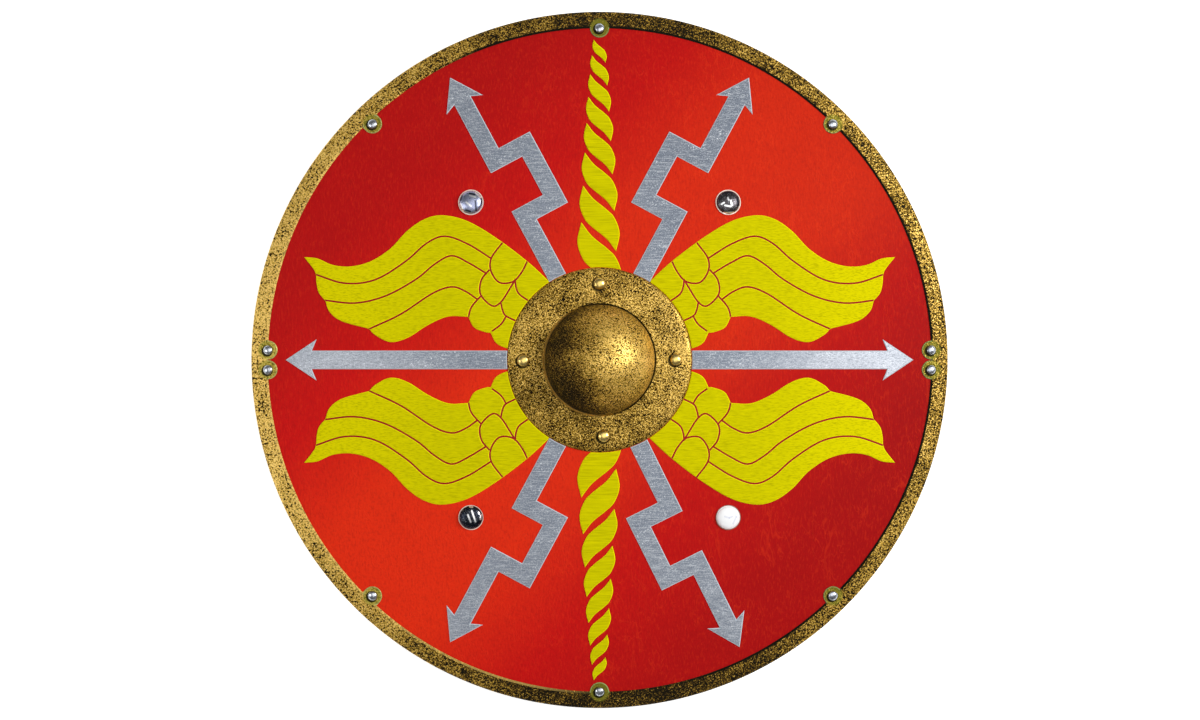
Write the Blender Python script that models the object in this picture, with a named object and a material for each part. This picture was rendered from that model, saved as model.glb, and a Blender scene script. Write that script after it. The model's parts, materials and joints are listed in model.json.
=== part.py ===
# Round shield of a Roman rider, at its real size, in metres.
# It lies face up on its edge binding: +Z points out of its face, +Y to its upper edge.
# Every layer follows one shallow dish, built of flat facets, so the layers stay parallel.
import math

import bmesh
import bpy
from mathutils import Matrix, Vector

# Overall sizes
SHIELD_DIAMETER = 0.800
DISH_RADIUS = 1.300
SEGMENTS = 40
DISH_BANDS = 3
# Decimals kept of sines and cosines, so that what belongs on an axis lies on it
TURN_DECIMALS = 12
# Edges sharper than this many degrees stay sharp in shading
SHARP_EDGE = 35.0

# Fits
CLEARANCE = 0.0003
PLATE_GAP = 0.0005

# Board and its leather face
BOARD_THICKNESS = 0.009
LEATHER_THICKNESS = 0.002

# Edge binding: a bronze channel with half-round lugs on its front leg
RIM_SHEET = 0.0012
RIM_WALL = 0.0024
RIM_FRONT_LEG = 0.0192
RIM_BACK_LEG = 0.012
RIM_EDGE_ROUND = 0.0035
RIM_FOOT_WIDTH = 0.003
LUG_RADIUS = 0.011
LUG_INSET = 0.0001
LUG_SIDES = 6
LUG_OVERLAP = 0.006

# Bronze boss: a bowl over the hand, and a flat flange
BOWL_RADIUS = 0.063
BOWL_HEIGHT = 0.052
BOWL_RINGS = 5
BOSS_SHEET = 0.0016
HAND_HOLE_SETBACK = 0.0014
FLANGE_RADIUS = 0.1052
FLANGE_THICKNESS = 0.003
FLANGE_EDGE_ROUND = 0.0024

# Rivets: head radius, head rise, shank radius, tail radius, tail rise, sides
RIM_RIVET = (0.0057, 0.0032, 0.0019, 0.0040, 0.0016, 6)
BOSS_RIVET = (0.0070, 0.0042, 0.0024, 0.0050, 0.0020, 8)
STRAP_RIVET = (0.0130, 0.0062, 0.0030, 0.0080, 0.0025, 10)
STRAP_RIVET_BRIM = 0.0018
STRAP_RIVET_BRIM_THICKNESS = 0.0008
HEAD_RINGS = 2
TAIL_FLAT_SHARE = 0.5
TAIL_CLEARANCE = 0.0005
HOLE_OVERRUN = 0.002
HOLE_SIDES = 4

# Places of the rivets, as the smith set them by hand. Those of the binding: direction, shift outwards,
# and for the pairs at the two sides, which of the pair
RIM_PAIR_GAP = 0.0006
RIM_RIVET_PLACES = (
    (90.0, 0.0, 0), (45.3, 0.0, 0), (0.0, 0.0, 1), (0.0, 0.0, -1), (-45.3, 0.0, 0),
    (-90.0, 0.0, 0), (-133.9, -0.005, 0), (180.0, 0.0, 1), (180.0, 0.0, -1), (133.9, -0.005, 0),
)
BOSS_RIVET_SETBACK = 0.0182
BOSS_RIVET_PLACES = (("top", 90.0), ("left", 180.5), ("bottom", 273.2), ("right", 0.2))
STRAP_X = 0.147
STRAP_Y = 0.180

# Hand grip, a bar of wood across the hand hole
GRIP_END = 0.017
GRIP_SEAT_SETBACK = 0.006
GRIP_HALF_WIDTH = 0.015
GRIP_HANDLE_HALF_WIDTH = 0.0125
GRIP_SEAT_THICKNESS = 0.011
GRIP_HANDLE_THICKNESS = 0.025
GRIP_RISE = 0.004
GRIP_CHAMFER_SHARE = 0.3
GRIP_HANDLE_SHARE = 0.75
GRIP_SWELL_SHARE = 0.3

# Arm straps
STRAP_WIDTH = 0.030
STRAP_THICKNESS = 0.0032
STRAP_END = 0.020
STRAP_SEAT = 0.018
STRAP_FLOOR_GAP = 0.0085
STRAP_BOW_SHAPE = 1.5
STRAP_STATIONS = 10

# Ornament of sheet metal
PLATE_THICKNESS = 0.0011
STROKE_WIDTH = 0.0212
BARB_LENGTH = 0.0358
BARB_HALF_WIDTH = 0.0236
NOTCH_LENGTH = 0.0303
ARROW_TIP_MARGIN = 0.0208
BOLT_TIP_MARGIN = 0.0143
BOLT_JOG_SIDE = 0.0511
# Ends of the jog, as shares of the bolt's length from its tip to the flange
BOLT_JOG_START_SHARE = 0.377
BOLT_JOG_END_SHARE = 0.731
BOLT_SKEW = 0.35
BOLT_PLACES = (
    ("upper_left", -1, 1, 27.9), ("upper_right", 1, 1, 27.9),
    ("lower_left", -1, -1, 27.9), ("lower_right", 1, -1, 26.0),
)

# Leaves of the spine, from the outermost one inwards, as shares of the spine's length
SPINE_TIP_MARGIN = 0.0133
LEAF_COUNT = 8
LEAF_FIRST_PITCH = 0.0846
LEAF_PITCH_GROWTH = 0.0151
LEAF_FIRST_WIDTH = 0.0320
LEAF_WIDTH_GROWTH = 0.00965
LEAF_FIRST_HEIGHT = 0.0511
LEAF_HEIGHT_GROWTH = 0.01533
# One side of a leaf, as shares of its half width and half height; the other side is it turned half round
LEAF_SIDE = ((-0.80, 1.00), (-0.33, 0.62), (0.33, 0.28), (0.72, 0.02), (0.97, -0.45), (0.80, -1.00))

# Wings, drawn as shares of the span from the middle of the shield out to a wing's tip
WING_TIP_MARGIN = 0.022
WING_LINE_WIDTH = 0.0016
WING_LINE_DEPTH = 0.0006
WING_TOP_EDGE = (
    (1.000, 0.348), (0.954, 0.343), (0.902, 0.321), (0.840, 0.316), (0.771, 0.334), (0.705, 0.377),
    (0.650, 0.435), (0.591, 0.475), (0.529, 0.488), (0.445, 0.468), (0.348, 0.411), (0.242, 0.331),
    (0.164, 0.259),
)
WING_ROOT = ((0.120, 0.200), (0.200, 0.030))
# Ends of the four feathers and of the two lowest scales, each from one notch to the next
WING_FEATHER_ENDS = (
    ((1.000, 0.348), (0.968, 0.308), (0.959, 0.288)),
    ((0.959, 0.288), (0.957, 0.258), (0.949, 0.227), (0.927, 0.200)),
    ((0.927, 0.200), (0.913, 0.163), (0.871, 0.131), (0.778, 0.105)),
    ((0.778, 0.105), (0.757, 0.084), (0.705, 0.060), (0.646, 0.075), (0.577, 0.118), (0.510, 0.146),
     (0.442, 0.145)),
    ((0.442, 0.145), (0.422, 0.109), (0.383, 0.093), (0.367, 0.092)),
    ((0.367, 0.092), (0.348, 0.057), (0.311, 0.039), (0.271, 0.034)),
)
# Chased lines between the feathers, from just outside a notch to the scales
WING_FEATHER_LINES = (
    ((0.966, 0.291), (0.861, 0.259), (0.757, 0.271), (0.654, 0.333), (0.584, 0.393), (0.522, 0.417),
     (0.445, 0.391), (0.367, 0.343)),
    ((0.933, 0.202), (0.826, 0.192), (0.722, 0.216), (0.619, 0.272), (0.557, 0.322), (0.500, 0.351),
     (0.445, 0.329), (0.383, 0.292)),
    ((0.783, 0.102), (0.671, 0.154), (0.567, 0.222), (0.500, 0.246), (0.452, 0.231), (0.411, 0.203)),
)
# Chased borders of the scales over the wing's root
WING_SCALE_LINES = (
    ((0.324, 0.399), (0.364, 0.344), (0.366, 0.300), (0.338, 0.261), (0.293, 0.263), (0.263, 0.294),
     (0.240, 0.339)),
    ((0.284, 0.266), (0.281, 0.244), (0.270, 0.221), (0.235, 0.196)),
    ((0.371, 0.304), (0.398, 0.269), (0.401, 0.221), (0.362, 0.182), (0.332, 0.195), (0.301, 0.242),
     (0.283, 0.272)),
    ((0.332, 0.192), (0.327, 0.169), (0.315, 0.148), (0.270, 0.126)),
    ((0.399, 0.216), (0.432, 0.177), (0.443, 0.136)),
    ((0.375, 0.087), (0.332, 0.120), (0.313, 0.150)),
)

# Levels above the back of the board, and radii that follow from the sizes above
SHIELD_RADIUS = SHIELD_DIAMETER / 2
BOARD_RADIUS = SHIELD_RADIUS - RIM_WALL - CLEARANCE
RIM_INNER_RADIUS = SHIELD_RADIUS - RIM_FRONT_LEG
HAND_HOLE_RADIUS = BOWL_RADIUS - BOSS_SHEET - HAND_HOLE_SETBACK
BOSS_RIVET_RADIUS = FLANGE_RADIUS - BOSS_RIVET_SETBACK
ARROW_TIP_RADIUS = RIM_INNER_RADIUS - ARROW_TIP_MARGIN
BOLT_TIP_RADIUS = RIM_INNER_RADIUS - BOLT_TIP_MARGIN
BOLT_LENGTH = BOLT_TIP_RADIUS - FLANGE_RADIUS
SPINE_LENGTH = RIM_INNER_RADIUS - SPINE_TIP_MARGIN - FLANGE_RADIUS
WING_SPAN = (RIM_INNER_RADIUS - WING_TIP_MARGIN) / math.hypot(*WING_TOP_EDGE[0])
LEATHER_LEVEL = BOARD_THICKNESS + CLEARANCE
FIELD_LEVEL = LEATHER_LEVEL + LEATHER_THICKNESS + CLEARANCE
RIM_TOP_LEVEL = FIELD_LEVEL + RIM_SHEET
FACET_ANGLE = 2 * math.pi / SEGMENTS
HALF_FACET = math.cos(FACET_ANGLE / 2)


def ring_radii():
    """Radii of the rings between the flat bands of the dish."""
    step = (BOARD_RADIUS - HAND_HOLE_RADIUS) / DISH_BANDS
    return [HAND_HOLE_RADIUS + step * i for i in range(DISH_BANDS + 1)]


RINGS = ring_radii()


def sphere_drop(radius):
    """How far the true dish falls from its middle to a radius."""
    return DISH_RADIUS - math.sqrt(DISH_RADIUS ** 2 - radius ** 2)


def band_slope(radius):
    """Fall per metre of the flat band that passes a radius."""
    band = 0
    while band < DISH_BANDS - 1 and radius > RINGS[band + 1]:
        band += 1
    inner, outer = RINGS[band], RINGS[band + 1]
    slope = (sphere_drop(outer) - sphere_drop(inner)) / (outer - inner)
    return inner, slope


def back_level(radius):
    """Height of the board's back on a ring; the binding's foot stands at height 0."""
    inner, slope = band_slope(radius)
    drop = sphere_drop(inner) + slope * (radius - inner)
    return RIM_SHEET + CLEARANCE + sphere_drop(BOARD_RADIUS) - drop


def facet_middle(x, y):
    """Direction of the middle of the flat facet at a place."""
    return (math.floor(math.atan2(y, x) / FACET_ANGLE) + 0.5) * FACET_ANGLE


def corner_radius(x, y):
    """Radius of the ring, measured to its corners, that passes a place."""
    middle = facet_middle(x, y)
    return (x * math.cos(middle) + y * math.sin(middle)) / HALF_FACET


def back_height(x, y):
    """Height of the board's back at a place."""
    return back_level(corner_radius(x, y))


def facet_frame(x, y):
    """Frame on the board's back at a place, its Z square to the facet, and the cosine of its lean."""
    middle = facet_middle(x, y)
    slope = band_slope(corner_radius(x, y))[1] / HALF_FACET
    normal = Vector((slope * math.cos(middle), slope * math.sin(middle), 1.0)).normalized()
    side = Vector((-math.sin(middle), math.cos(middle), 0.0))
    frame = Matrix((side.cross(normal), side, normal)).transposed().to_4x4()
    frame.translation = (x, y, back_height(x, y))
    return frame, normal.z


def on_circle(radius, angle):
    """Place on a circle round the middle."""
    return (radius * round(math.cos(angle), TURN_DECIMALS), radius * round(math.sin(angle), TURN_DECIMALS))


def polar(radius, degrees):
    """Plane coordinates of a distance and a direction in degrees."""
    return on_circle(radius, math.radians(degrees))


def rim_place(degrees, shift, pair):
    """Direction and place of a lug of the binding, with a pair's two lugs side by side."""
    radius = RIM_INNER_RADIUS + shift
    aside = pair * (LUG_RADIUS + RIM_PAIR_GAP / 2)
    direction = degrees + math.degrees(math.asin(aside / radius))
    return direction, Vector(polar(radius, direction))


def make_material(name, colour, roughness, metallic):
    """One Principled material."""
    material = bpy.data.materials.new(name)
    material.use_nodes = True
    shader = material.node_tree.nodes["Principled BSDF"]
    shader.inputs["Base Color"].default_value = (*colour, 1.0)
    shader.inputs["Roughness"].default_value = roughness
    shader.inputs["Metallic"].default_value = metallic
    return material


def add_object(name, mesh_builder, material=None, smooth=False):
    """Turn a bmesh into a named object with its faces pointing out."""
    bmesh.ops.recalc_face_normals(mesh_builder, faces=mesh_builder.faces)
    mesh = bpy.data.meshes.new(name)
    mesh_builder.to_mesh(mesh)
    mesh_builder.free()
    if smooth:
        mesh.shade_smooth()
        mesh.set_sharp_from_angle(angle=math.radians(SHARP_EDGE))
    item = bpy.data.objects.new(name, mesh)
    if material:
        mesh.materials.append(material)
    bpy.context.collection.objects.link(item)
    return item


def cut_all(item, group):
    """Cut every guide of a collection out of an object in one step."""
    modifier = item.modifiers.new("difference_" + group.name, "BOOLEAN")
    modifier.operation = "DIFFERENCE"
    modifier.operand_type = "COLLECTION"
    modifier.collection = group
    modifier.solver = "EXACT"


def as_cutter(item):
    """Mark an object as a guide that is not part of the shield."""
    item.hide_render = True
    item.display_type = "WIRE"
    return item


def cut(item, operation, other):
    """Join, cut or trim an object by another one."""
    modifier = item.modifiers.new(operation.lower() + "_" + other.name, "BOOLEAN")
    modifier.operation = operation
    modifier.object = other
    modifier.solver = "EXACT"


def add_turned(builder, profile, sides, frame=None):
    """Add a body turned round Z from a closed profile, or from one that starts and ends on the axis."""
    rings = []
    for radius, height in profile:
        if radius == 0.0:
            rings.append([builder.verts.new((0.0, 0.0, height))])
            continue
        ring = []
        for i in range(sides):
            ring.append(builder.verts.new((*on_circle(radius, 2 * math.pi * i / sides), height)))
        rings.append(ring)
    closed = profile[0][0] != 0.0
    for k in range(len(rings) if closed else len(rings) - 1):
        first, second = rings[k], rings[(k + 1) % len(rings)]
        for i in range(sides):
            j = (i + 1) % sides
            near = [first[i % len(first)], first[j % len(first)]]
            far = [second[j % len(second)], second[i % len(second)]]
            builder.faces.new(list(dict.fromkeys(near + far)))
    if frame:
        used = [vert for ring in rings for vert in ring]
        bmesh.ops.transform(builder, matrix=frame, verts=used)


def add_prism(builder, outline, low, high):
    """Add an upright body on a plane outline."""
    base = builder.faces.new([builder.verts.new((x, y, low)) for x, y in outline])
    result = bmesh.ops.extrude_face_region(builder, geom=[base])
    moved = [part for part in result["geom"] if isinstance(part, bmesh.types.BMVert)]
    bmesh.ops.translate(builder, verts=moved, vec=(0.0, 0.0, high - low))


def dish_profile(inner, outer, low, high):
    """Closed profile of a layer of the dish between two radii and two levels above the board's back."""
    radii = [inner] + [radius for radius in RINGS if inner < radius < outer] + [outer]
    top = [(radius, back_level(radius) + high) for radius in radii]
    bottom = [(radius, back_level(radius) + low) for radius in reversed(radii)]
    return top + bottom


def dish_layer(name, inner, outer, low, high, material=None):
    """One layer of the dish as an object."""
    builder = bmesh.new()
    add_turned(builder, dish_profile(inner, outer, low, high), SEGMENTS)
    return add_object(name, builder, material, smooth=material is not None)


def curve_through(points, spans):
    """Places along a smooth curve through hand-set points."""
    count = len(points) - 1
    places = []
    for k in range(spans + 1):
        i = min(k * count // spans, count - 1)
        t = k * count / spans - i
        p1, p2 = Vector(points[i]), Vector(points[i + 1])
        p0 = Vector(points[i - 1]) if i > 0 else 2 * p1 - p2
        p3 = Vector(points[i + 2]) if i + 2 <= count else 2 * p2 - p1
        place = 0.5 * (2 * p1 + (p2 - p0) * t + (2 * p0 - 5 * p1 + 4 * p2 - p3) * t ** 2
                       + (3 * p1 - p0 - 3 * p2 + p3) * t ** 3)
        places.append(tuple(place))
    return places


def make_rim(material, holes):
    """Bronze channel that clasps the board's edge, with its lugs joined on."""
    top = RIM_TOP_LEVEL
    wall_inside = BOARD_RADIUS + CLEARANCE
    round_start = SHIELD_RADIUS - RIM_EDGE_ROUND
    back_inner = SHIELD_RADIUS - RIM_BACK_LEG
    foot_outer = SHIELD_RADIUS - RIM_WALL / 2
    profile = [
        (RIM_INNER_RADIUS, back_level(RIM_INNER_RADIUS) + top),
        (round_start, back_level(round_start) + top),
        (SHIELD_RADIUS, back_level(SHIELD_RADIUS) + top - RIM_EDGE_ROUND / 2),
        (SHIELD_RADIUS, RIM_EDGE_ROUND),
        (foot_outer, 0.0),
        (foot_outer - RIM_FOOT_WIDTH, 0.0),
        (back_inner, back_level(back_inner) - CLEARANCE - RIM_SHEET),
        (back_inner, back_level(back_inner) - CLEARANCE),
        (wall_inside, back_level(wall_inside) - CLEARANCE),
        (wall_inside, back_level(wall_inside) + FIELD_LEVEL),
        (RIM_INNER_RADIUS, back_level(RIM_INNER_RADIUS) + FIELD_LEVEL),
    ]
    builder = bmesh.new()
    add_turned(builder, profile, SEGMENTS)
    rim = add_object("rim_binding", builder, material, smooth=True)

    builder = bmesh.new()
    for degrees, shift, pair in RIM_RIVET_PLACES:
        centre = rim_place(degrees, shift, pair)[1]
        outline = []
        for i in range(LUG_SIDES + 1):
            angle = degrees + 90 + 180 * i / LUG_SIDES
            outline.append(centre + Vector(polar(LUG_RADIUS, angle)))
        reach = Vector(polar(LUG_OVERLAP - shift, degrees))
        outline += [outline[-1] + reach, outline[0] + reach]
        add_prism(builder, outline, 0.0, SHIELD_RADIUS)
    lugs = as_cutter(add_object("rim_lugs", builder))
    layer = as_cutter(dish_layer("lug_layer", RIM_INNER_RADIUS / 2, wall_inside,
                                 FIELD_LEVEL + LUG_INSET, RIM_TOP_LEVEL - LUG_INSET))
    cut(lugs, "INTERSECT", layer)
    cut(rim, "UNION", lugs)
    cut(rim, "DIFFERENCE", holes)


def make_boss(material, holes):
    """Bronze bowl and flange in one, hollow over the hand."""
    flange_top = back_level(BOWL_RADIUS) + FIELD_LEVEL + FLANGE_THICKNESS
    inner_radius = BOWL_RADIUS - BOSS_SHEET
    underside = back_level(inner_radius) + FIELD_LEVEL
    inner_height = flange_top + BOWL_HEIGHT - BOSS_SHEET - underside
    edge_start = FLANGE_RADIUS - FLANGE_EDGE_ROUND
    rim_level = back_level(FLANGE_RADIUS) + FIELD_LEVEL
    profile = [(0.0, flange_top + BOWL_HEIGHT)]
    for i in range(1, BOWL_RINGS + 1):
        angle = math.pi / 2 * (1 - i / BOWL_RINGS)
        profile.append((BOWL_RADIUS * math.cos(angle), flange_top + BOWL_HEIGHT * math.sin(angle)))
    profile += [
        (edge_start, back_level(edge_start) + FIELD_LEVEL + FLANGE_THICKNESS),
        (FLANGE_RADIUS, rim_level + FLANGE_THICKNESS - FLANGE_EDGE_ROUND),
        (FLANGE_RADIUS, rim_level),
        (inner_radius, underside),
    ]
    for i in range(BOWL_RINGS - 1, 0, -1):
        angle = math.pi / 2 * (1 - i / BOWL_RINGS)
        profile.append((inner_radius * math.cos(angle), underside + inner_height * math.sin(angle)))
    profile.append((0.0, underside + inner_height))
    builder = bmesh.new()
    add_turned(builder, profile, SEGMENTS)
    boss = add_object("boss", builder, material, smooth=True)
    cut(boss, "DIFFERENCE", holes)


def rivet_profile(kind, seat, tail, brim=0.0, brim_thickness=0.0):
    """Half section of a rivet: domed head on its seat, shank, and clenched tail."""
    head_radius, head_rise, shank_radius, tail_radius, tail_rise, sides = kind
    profile = [(0.0, seat + brim_thickness + head_rise)]
    for i in range(1, HEAD_RINGS + 1):
        angle = math.pi / 2 * (1 - i / HEAD_RINGS)
        profile.append((head_radius * math.cos(angle), seat + brim_thickness + head_rise * math.sin(angle)))
    if brim:
        profile += [(head_radius + brim, seat + brim_thickness), (head_radius + brim, seat)]
    profile += [
        (shank_radius, seat),
        (shank_radius, tail),
        (tail_radius, tail),
        (tail_radius * TAIL_FLAT_SHARE, tail - tail_rise),
        (0.0, tail - tail_rise),
    ]
    return profile


def strap_top(x_sign, side, y):
    """Height of one upper edge of an arm strap where it lies on the board."""
    return back_height(x_sign * STRAP_X + side * STRAP_WIDTH / 2, y) - CLEARANCE


def strap_tail_level():
    """Level of the underside of a strap's end below the board's back, at its rivet."""
    middle = (strap_top(1, -1, STRAP_Y) + strap_top(1, 1, STRAP_Y)) / 2
    return middle - STRAP_THICKNESS - back_height(STRAP_X, STRAP_Y) - CLEARANCE


def rivet_table():
    """Name, kind, place, head level, tail level and brim of every rivet."""
    rows = []
    for i, row in enumerate(RIM_RIVET_PLACES):
        place = rim_place(*row)[1]
        rows.append((f"rim_rivet_{i + 1}", RIM_RIVET, place, RIM_TOP_LEVEL, 0.0, 0.0))
    for side, degrees in BOSS_RIVET_PLACES:
        place = polar(BOSS_RIVET_RADIUS, degrees)
        holds_grip = side in ("top", "bottom")
        tail = -GRIP_SEAT_THICKNESS - CLEARANCE if holds_grip else 0.0
        rows.append((f"boss_rivet_{side}", BOSS_RIVET, place, FIELD_LEVEL + FLANGE_THICKNESS, tail, 0.0))
    for side, x_sign, y_sign, _ in BOLT_PLACES:
        place = (x_sign * STRAP_X, y_sign * STRAP_Y)
        tail = strap_tail_level()
        rows.append((f"strap_rivet_{side}", STRAP_RIVET, place, FIELD_LEVEL, tail, STRAP_RIVET_BRIM))
    return rows


def make_rivets(steel, brass):
    """Every rivet, and the one guide that cuts all their holes."""
    hole_builder = bmesh.new()
    for name, kind, place, head_level, tail_level, brim in rivet_table():
        frame, upright = facet_frame(*place)
        seat = (head_level + CLEARANCE) * upright
        tail = tail_level * upright - TAIL_CLEARANCE
        thickness = STRAP_RIVET_BRIM_THICKNESS if brim else 0.0
        shank_radius, sides = kind[2], kind[-1]
        builder = bmesh.new()
        add_turned(builder, rivet_profile(kind, seat, tail, brim, thickness), sides, frame)
        add_object(name, builder, brass if kind is BOSS_RIVET else steel, smooth=True)
        bore = (shank_radius + CLEARANCE) / math.cos(math.pi / HOLE_SIDES)
        ends = ((bore, seat + HOLE_OVERRUN), (bore, tail - HOLE_OVERRUN))
        drill = [(0.0, ends[0][1]), ends[0], ends[1], (0.0, ends[1][1])]
        add_turned(hole_builder, drill, HOLE_SIDES, frame)
    return as_cutter(add_object("rivet_holes", hole_builder))


def add_loft(builder, sections):
    """Add a body through like cross sections, closed at both ends."""
    rows = [[builder.verts.new(point) for point in section] for section in sections]
    count = len(rows[0])
    for first, second in zip(rows, rows[1:]):
        for i in range(count):
            j = (i + 1) % count
            builder.faces.new((first[i], first[j], second[j], second[i]))
    builder.faces.new(rows[0])
    builder.faces.new(rows[-1])


def make_grip(material, holes):
    """Wooden bar across the hand hole, held by the upper and the lower boss rivet."""
    handle_reach = HAND_HOLE_RADIUS * GRIP_HANDLE_SHARE
    swell_reach = HAND_HOLE_RADIUS * GRIP_SWELL_SHARE
    stations = []
    for y in (-BOSS_RIVET_RADIUS - GRIP_END, GRIP_SEAT_SETBACK - HAND_HOLE_RADIUS):
        top = back_height(GRIP_HALF_WIDTH, abs(y)) - CLEARANCE
        stations.append((y, GRIP_HALF_WIDTH, top, top - GRIP_SEAT_THICKNESS))
    handle_top = back_level(HAND_HOLE_RADIUS) + GRIP_RISE
    for y in (-handle_reach, -swell_reach):
        stations.append((y, GRIP_HANDLE_HALF_WIDTH, handle_top, handle_top - GRIP_HANDLE_THICKNESS))
    stations += [(-y, width, top, bottom) for y, width, top, bottom in reversed(stations)]
    sections = []
    for y, width, top, bottom in stations:
        on_handle = abs(y) <= handle_reach
        chamfer = GRIP_CHAMFER_SHARE * (top - bottom)
        top_chamfer = chamfer if on_handle else CLEARANCE
        section = []
        for side, edge, bevel in ((1, top, top_chamfer), (1, bottom, chamfer), (-1, bottom, chamfer),
                                  (-1, top, top_chamfer)):
            inward = 1 if edge == bottom else -1
            flat_point = (side * (width - bevel), y, edge)
            side_point = (side * width, y, edge + inward * bevel)
            starts_flat = (side == 1) == (edge == top)
            section += [flat_point, side_point] if starts_flat else [side_point, flat_point]
        sections.append(section)
    builder = bmesh.new()
    add_loft(builder, sections)
    grip = add_object("hand_grip", builder, material, smooth=True)
    cut(grip, "DIFFERENCE", holes)


def make_strap(name, x_sign, material, holes):
    """Leather arm strap, flat on the board at both ends and bowed out between them."""
    end = STRAP_Y + STRAP_END
    free = STRAP_Y - STRAP_SEAT
    deepest = strap_top(1, 1, 0.0) - STRAP_THICKNESS - STRAP_FLOOR_GAP
    places = [-end, -STRAP_Y]
    places += [-free + 2 * free * i / STRAP_STATIONS for i in range(STRAP_STATIONS + 1)]
    places += [STRAP_Y, end]
    sections = []
    for y in places:
        bulge = math.sin(math.pi / 2 * max(1 - (y / free) ** 2, 0.0))
        bow = deepest * bulge ** STRAP_BOW_SHAPE
        corners = []
        for side in (-1, 1):
            x = x_sign * STRAP_X + side * STRAP_WIDTH / 2
            top = strap_top(x_sign, side, y) - bow
            corners += [(x, y, top), (x, y, top - STRAP_THICKNESS)]
        sections.append([corners[0], corners[1], corners[3], corners[2]])
    builder = bmesh.new()
    add_loft(builder, sections)
    strap = add_object(name, builder, material, smooth=True)
    cut(strap, "DIFFERENCE", holes)


def make_plate(name, outline, layer, material):
    """Flat ornament cut from sheet and bent to the dish."""
    builder = bmesh.new()
    add_prism(builder, outline, 0.0, SHIELD_RADIUS)
    plate = add_object(name, builder, material)
    cut(plate, "INTERSECT", layer)
    return plate


def arrow_head(half_stroke):
    """One side of the barbed head, along and across, from its tip to the shaft."""
    return [(BARB_LENGTH, BARB_HALF_WIDTH), (NOTCH_LENGTH, half_stroke)]


def arrow_outline(reach):
    """Straight arrow, along and across from its tip."""
    half = STROKE_WIDTH / 2
    side = arrow_head(half) + [(reach, half)]
    return [(0.0, 0.0)] + side + [(along, -across) for along, across in reversed(side)]


def bolt_outline(reach):
    """Zigzag bolt, along and across from its tip: out at the first jog and back at the second."""
    half = STROKE_WIDTH / 2
    far = BOLT_JOG_SIDE
    near = far - STROKE_WIDTH
    start, end = BOLT_LENGTH * BOLT_JOG_START_SHARE, BOLT_LENGTH * BOLT_JOG_END_SHARE
    outer = [(start, half), (start, far), (end, far), (end, half), (reach, half)]
    inner_start, inner_end = start + STROKE_WIDTH, end - STROKE_WIDTH
    inner = [(reach, -half), (inner_end, -half), (inner_end, near), (inner_start, near), (inner_start, -half)]
    back = [(along, -across) for along, across in reversed(arrow_head(half))]
    return [(0.0, 0.0)] + arrow_head(half) + outer + inner + back


def place_outline(outline, tip, direction, side):
    """Lay an outline on the face: its tip, the way it points back from it, and the way across."""
    return [tip + direction * along + side * across for along, across in outline]


def bolt_axes(x_sign, y_sign, degrees):
    """Tip, direction towards the boss and sideways direction of a bolt."""
    tip_angle = math.radians(degrees)
    axis_angle = math.radians(degrees + BOLT_SKEW)
    tip = Vector((x_sign * math.sin(tip_angle), y_sign * math.cos(tip_angle))) * BOLT_TIP_RADIUS
    direction = Vector((-x_sign * math.sin(axis_angle), -y_sign * math.cos(axis_angle)))
    side = Vector((-x_sign * math.cos(axis_angle), y_sign * math.sin(axis_angle)))
    return tip, direction, side


def make_bolts_and_arrows(layer, steel):
    """Four bolts and two arrows, and the guide that trims the wings along the bolts' shafts."""
    gap_builder = bmesh.new()
    for side_name, x_sign, y_sign, degrees in BOLT_PLACES:
        tip, direction, side = bolt_axes(x_sign, y_sign, degrees)
        outline = place_outline(bolt_outline(BOLT_TIP_RADIUS - BOWL_RADIUS), tip, direction, side)
        make_plate(f"bolt_{side_name}", outline, layer, steel)
        half = STROKE_WIDTH / 2 + PLATE_GAP
        start, end = BOLT_LENGTH * BOLT_JOG_END_SHARE, BOLT_TIP_RADIUS - BOWL_RADIUS
        strip = [(start, BOLT_JOG_SIDE), (end, BOLT_JOG_SIDE), (end, -half), (start, -half)]
        add_prism(gap_builder, place_outline(strip, tip, direction, side), 0.0, SHIELD_RADIUS)
    for side_name, x_sign in (("left", -1), ("right", 1)):
        tip = Vector((x_sign * ARROW_TIP_RADIUS, 0.0))
        outline = arrow_outline(ARROW_TIP_RADIUS - BOWL_RADIUS)
        outline = place_outline(outline, tip, Vector((-x_sign, 0.0)), Vector((0.0, 1.0)))
        make_plate(f"arrow_{side_name}", outline, layer, steel)
    return as_cutter(add_object("bolt_shaft_gaps", gap_builder))


def make_leaves(layer, material):
    """Two rows of leaves set aslant, growing towards the boss."""
    for row, y_sign in (("upper", 1), ("lower", -1)):
        place = RIM_INNER_RADIUS - SPINE_TIP_MARGIN - LEAF_FIRST_HEIGHT * SPINE_LENGTH
        for i in range(LEAF_COUNT):
            width = (LEAF_FIRST_WIDTH + LEAF_WIDTH_GROWTH * i) * SPINE_LENGTH
            height = (LEAF_FIRST_HEIGHT + LEAF_HEIGHT_GROWTH * i) * SPINE_LENGTH
            side = [(x * width, y * height) for x, y in LEAF_SIDE]
            outline = side[:-1] + [(-x, -y) for x, y in side[:-1]]
            outline = [(x, y_sign * (place + y)) for x, y in outline]
            make_plate(f"leaf_{row}_{i + 1}", outline, layer, material)
            place -= (LEAF_FIRST_PITCH + LEAF_PITCH_GROWTH * i) * SPINE_LENGTH


def wing_place(point, x_sign, y_sign):
    """Place on the face of a point drawn as shares of the wing's span."""
    return Vector((x_sign * point[0] * WING_SPAN, y_sign * point[1] * WING_SPAN))


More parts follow.
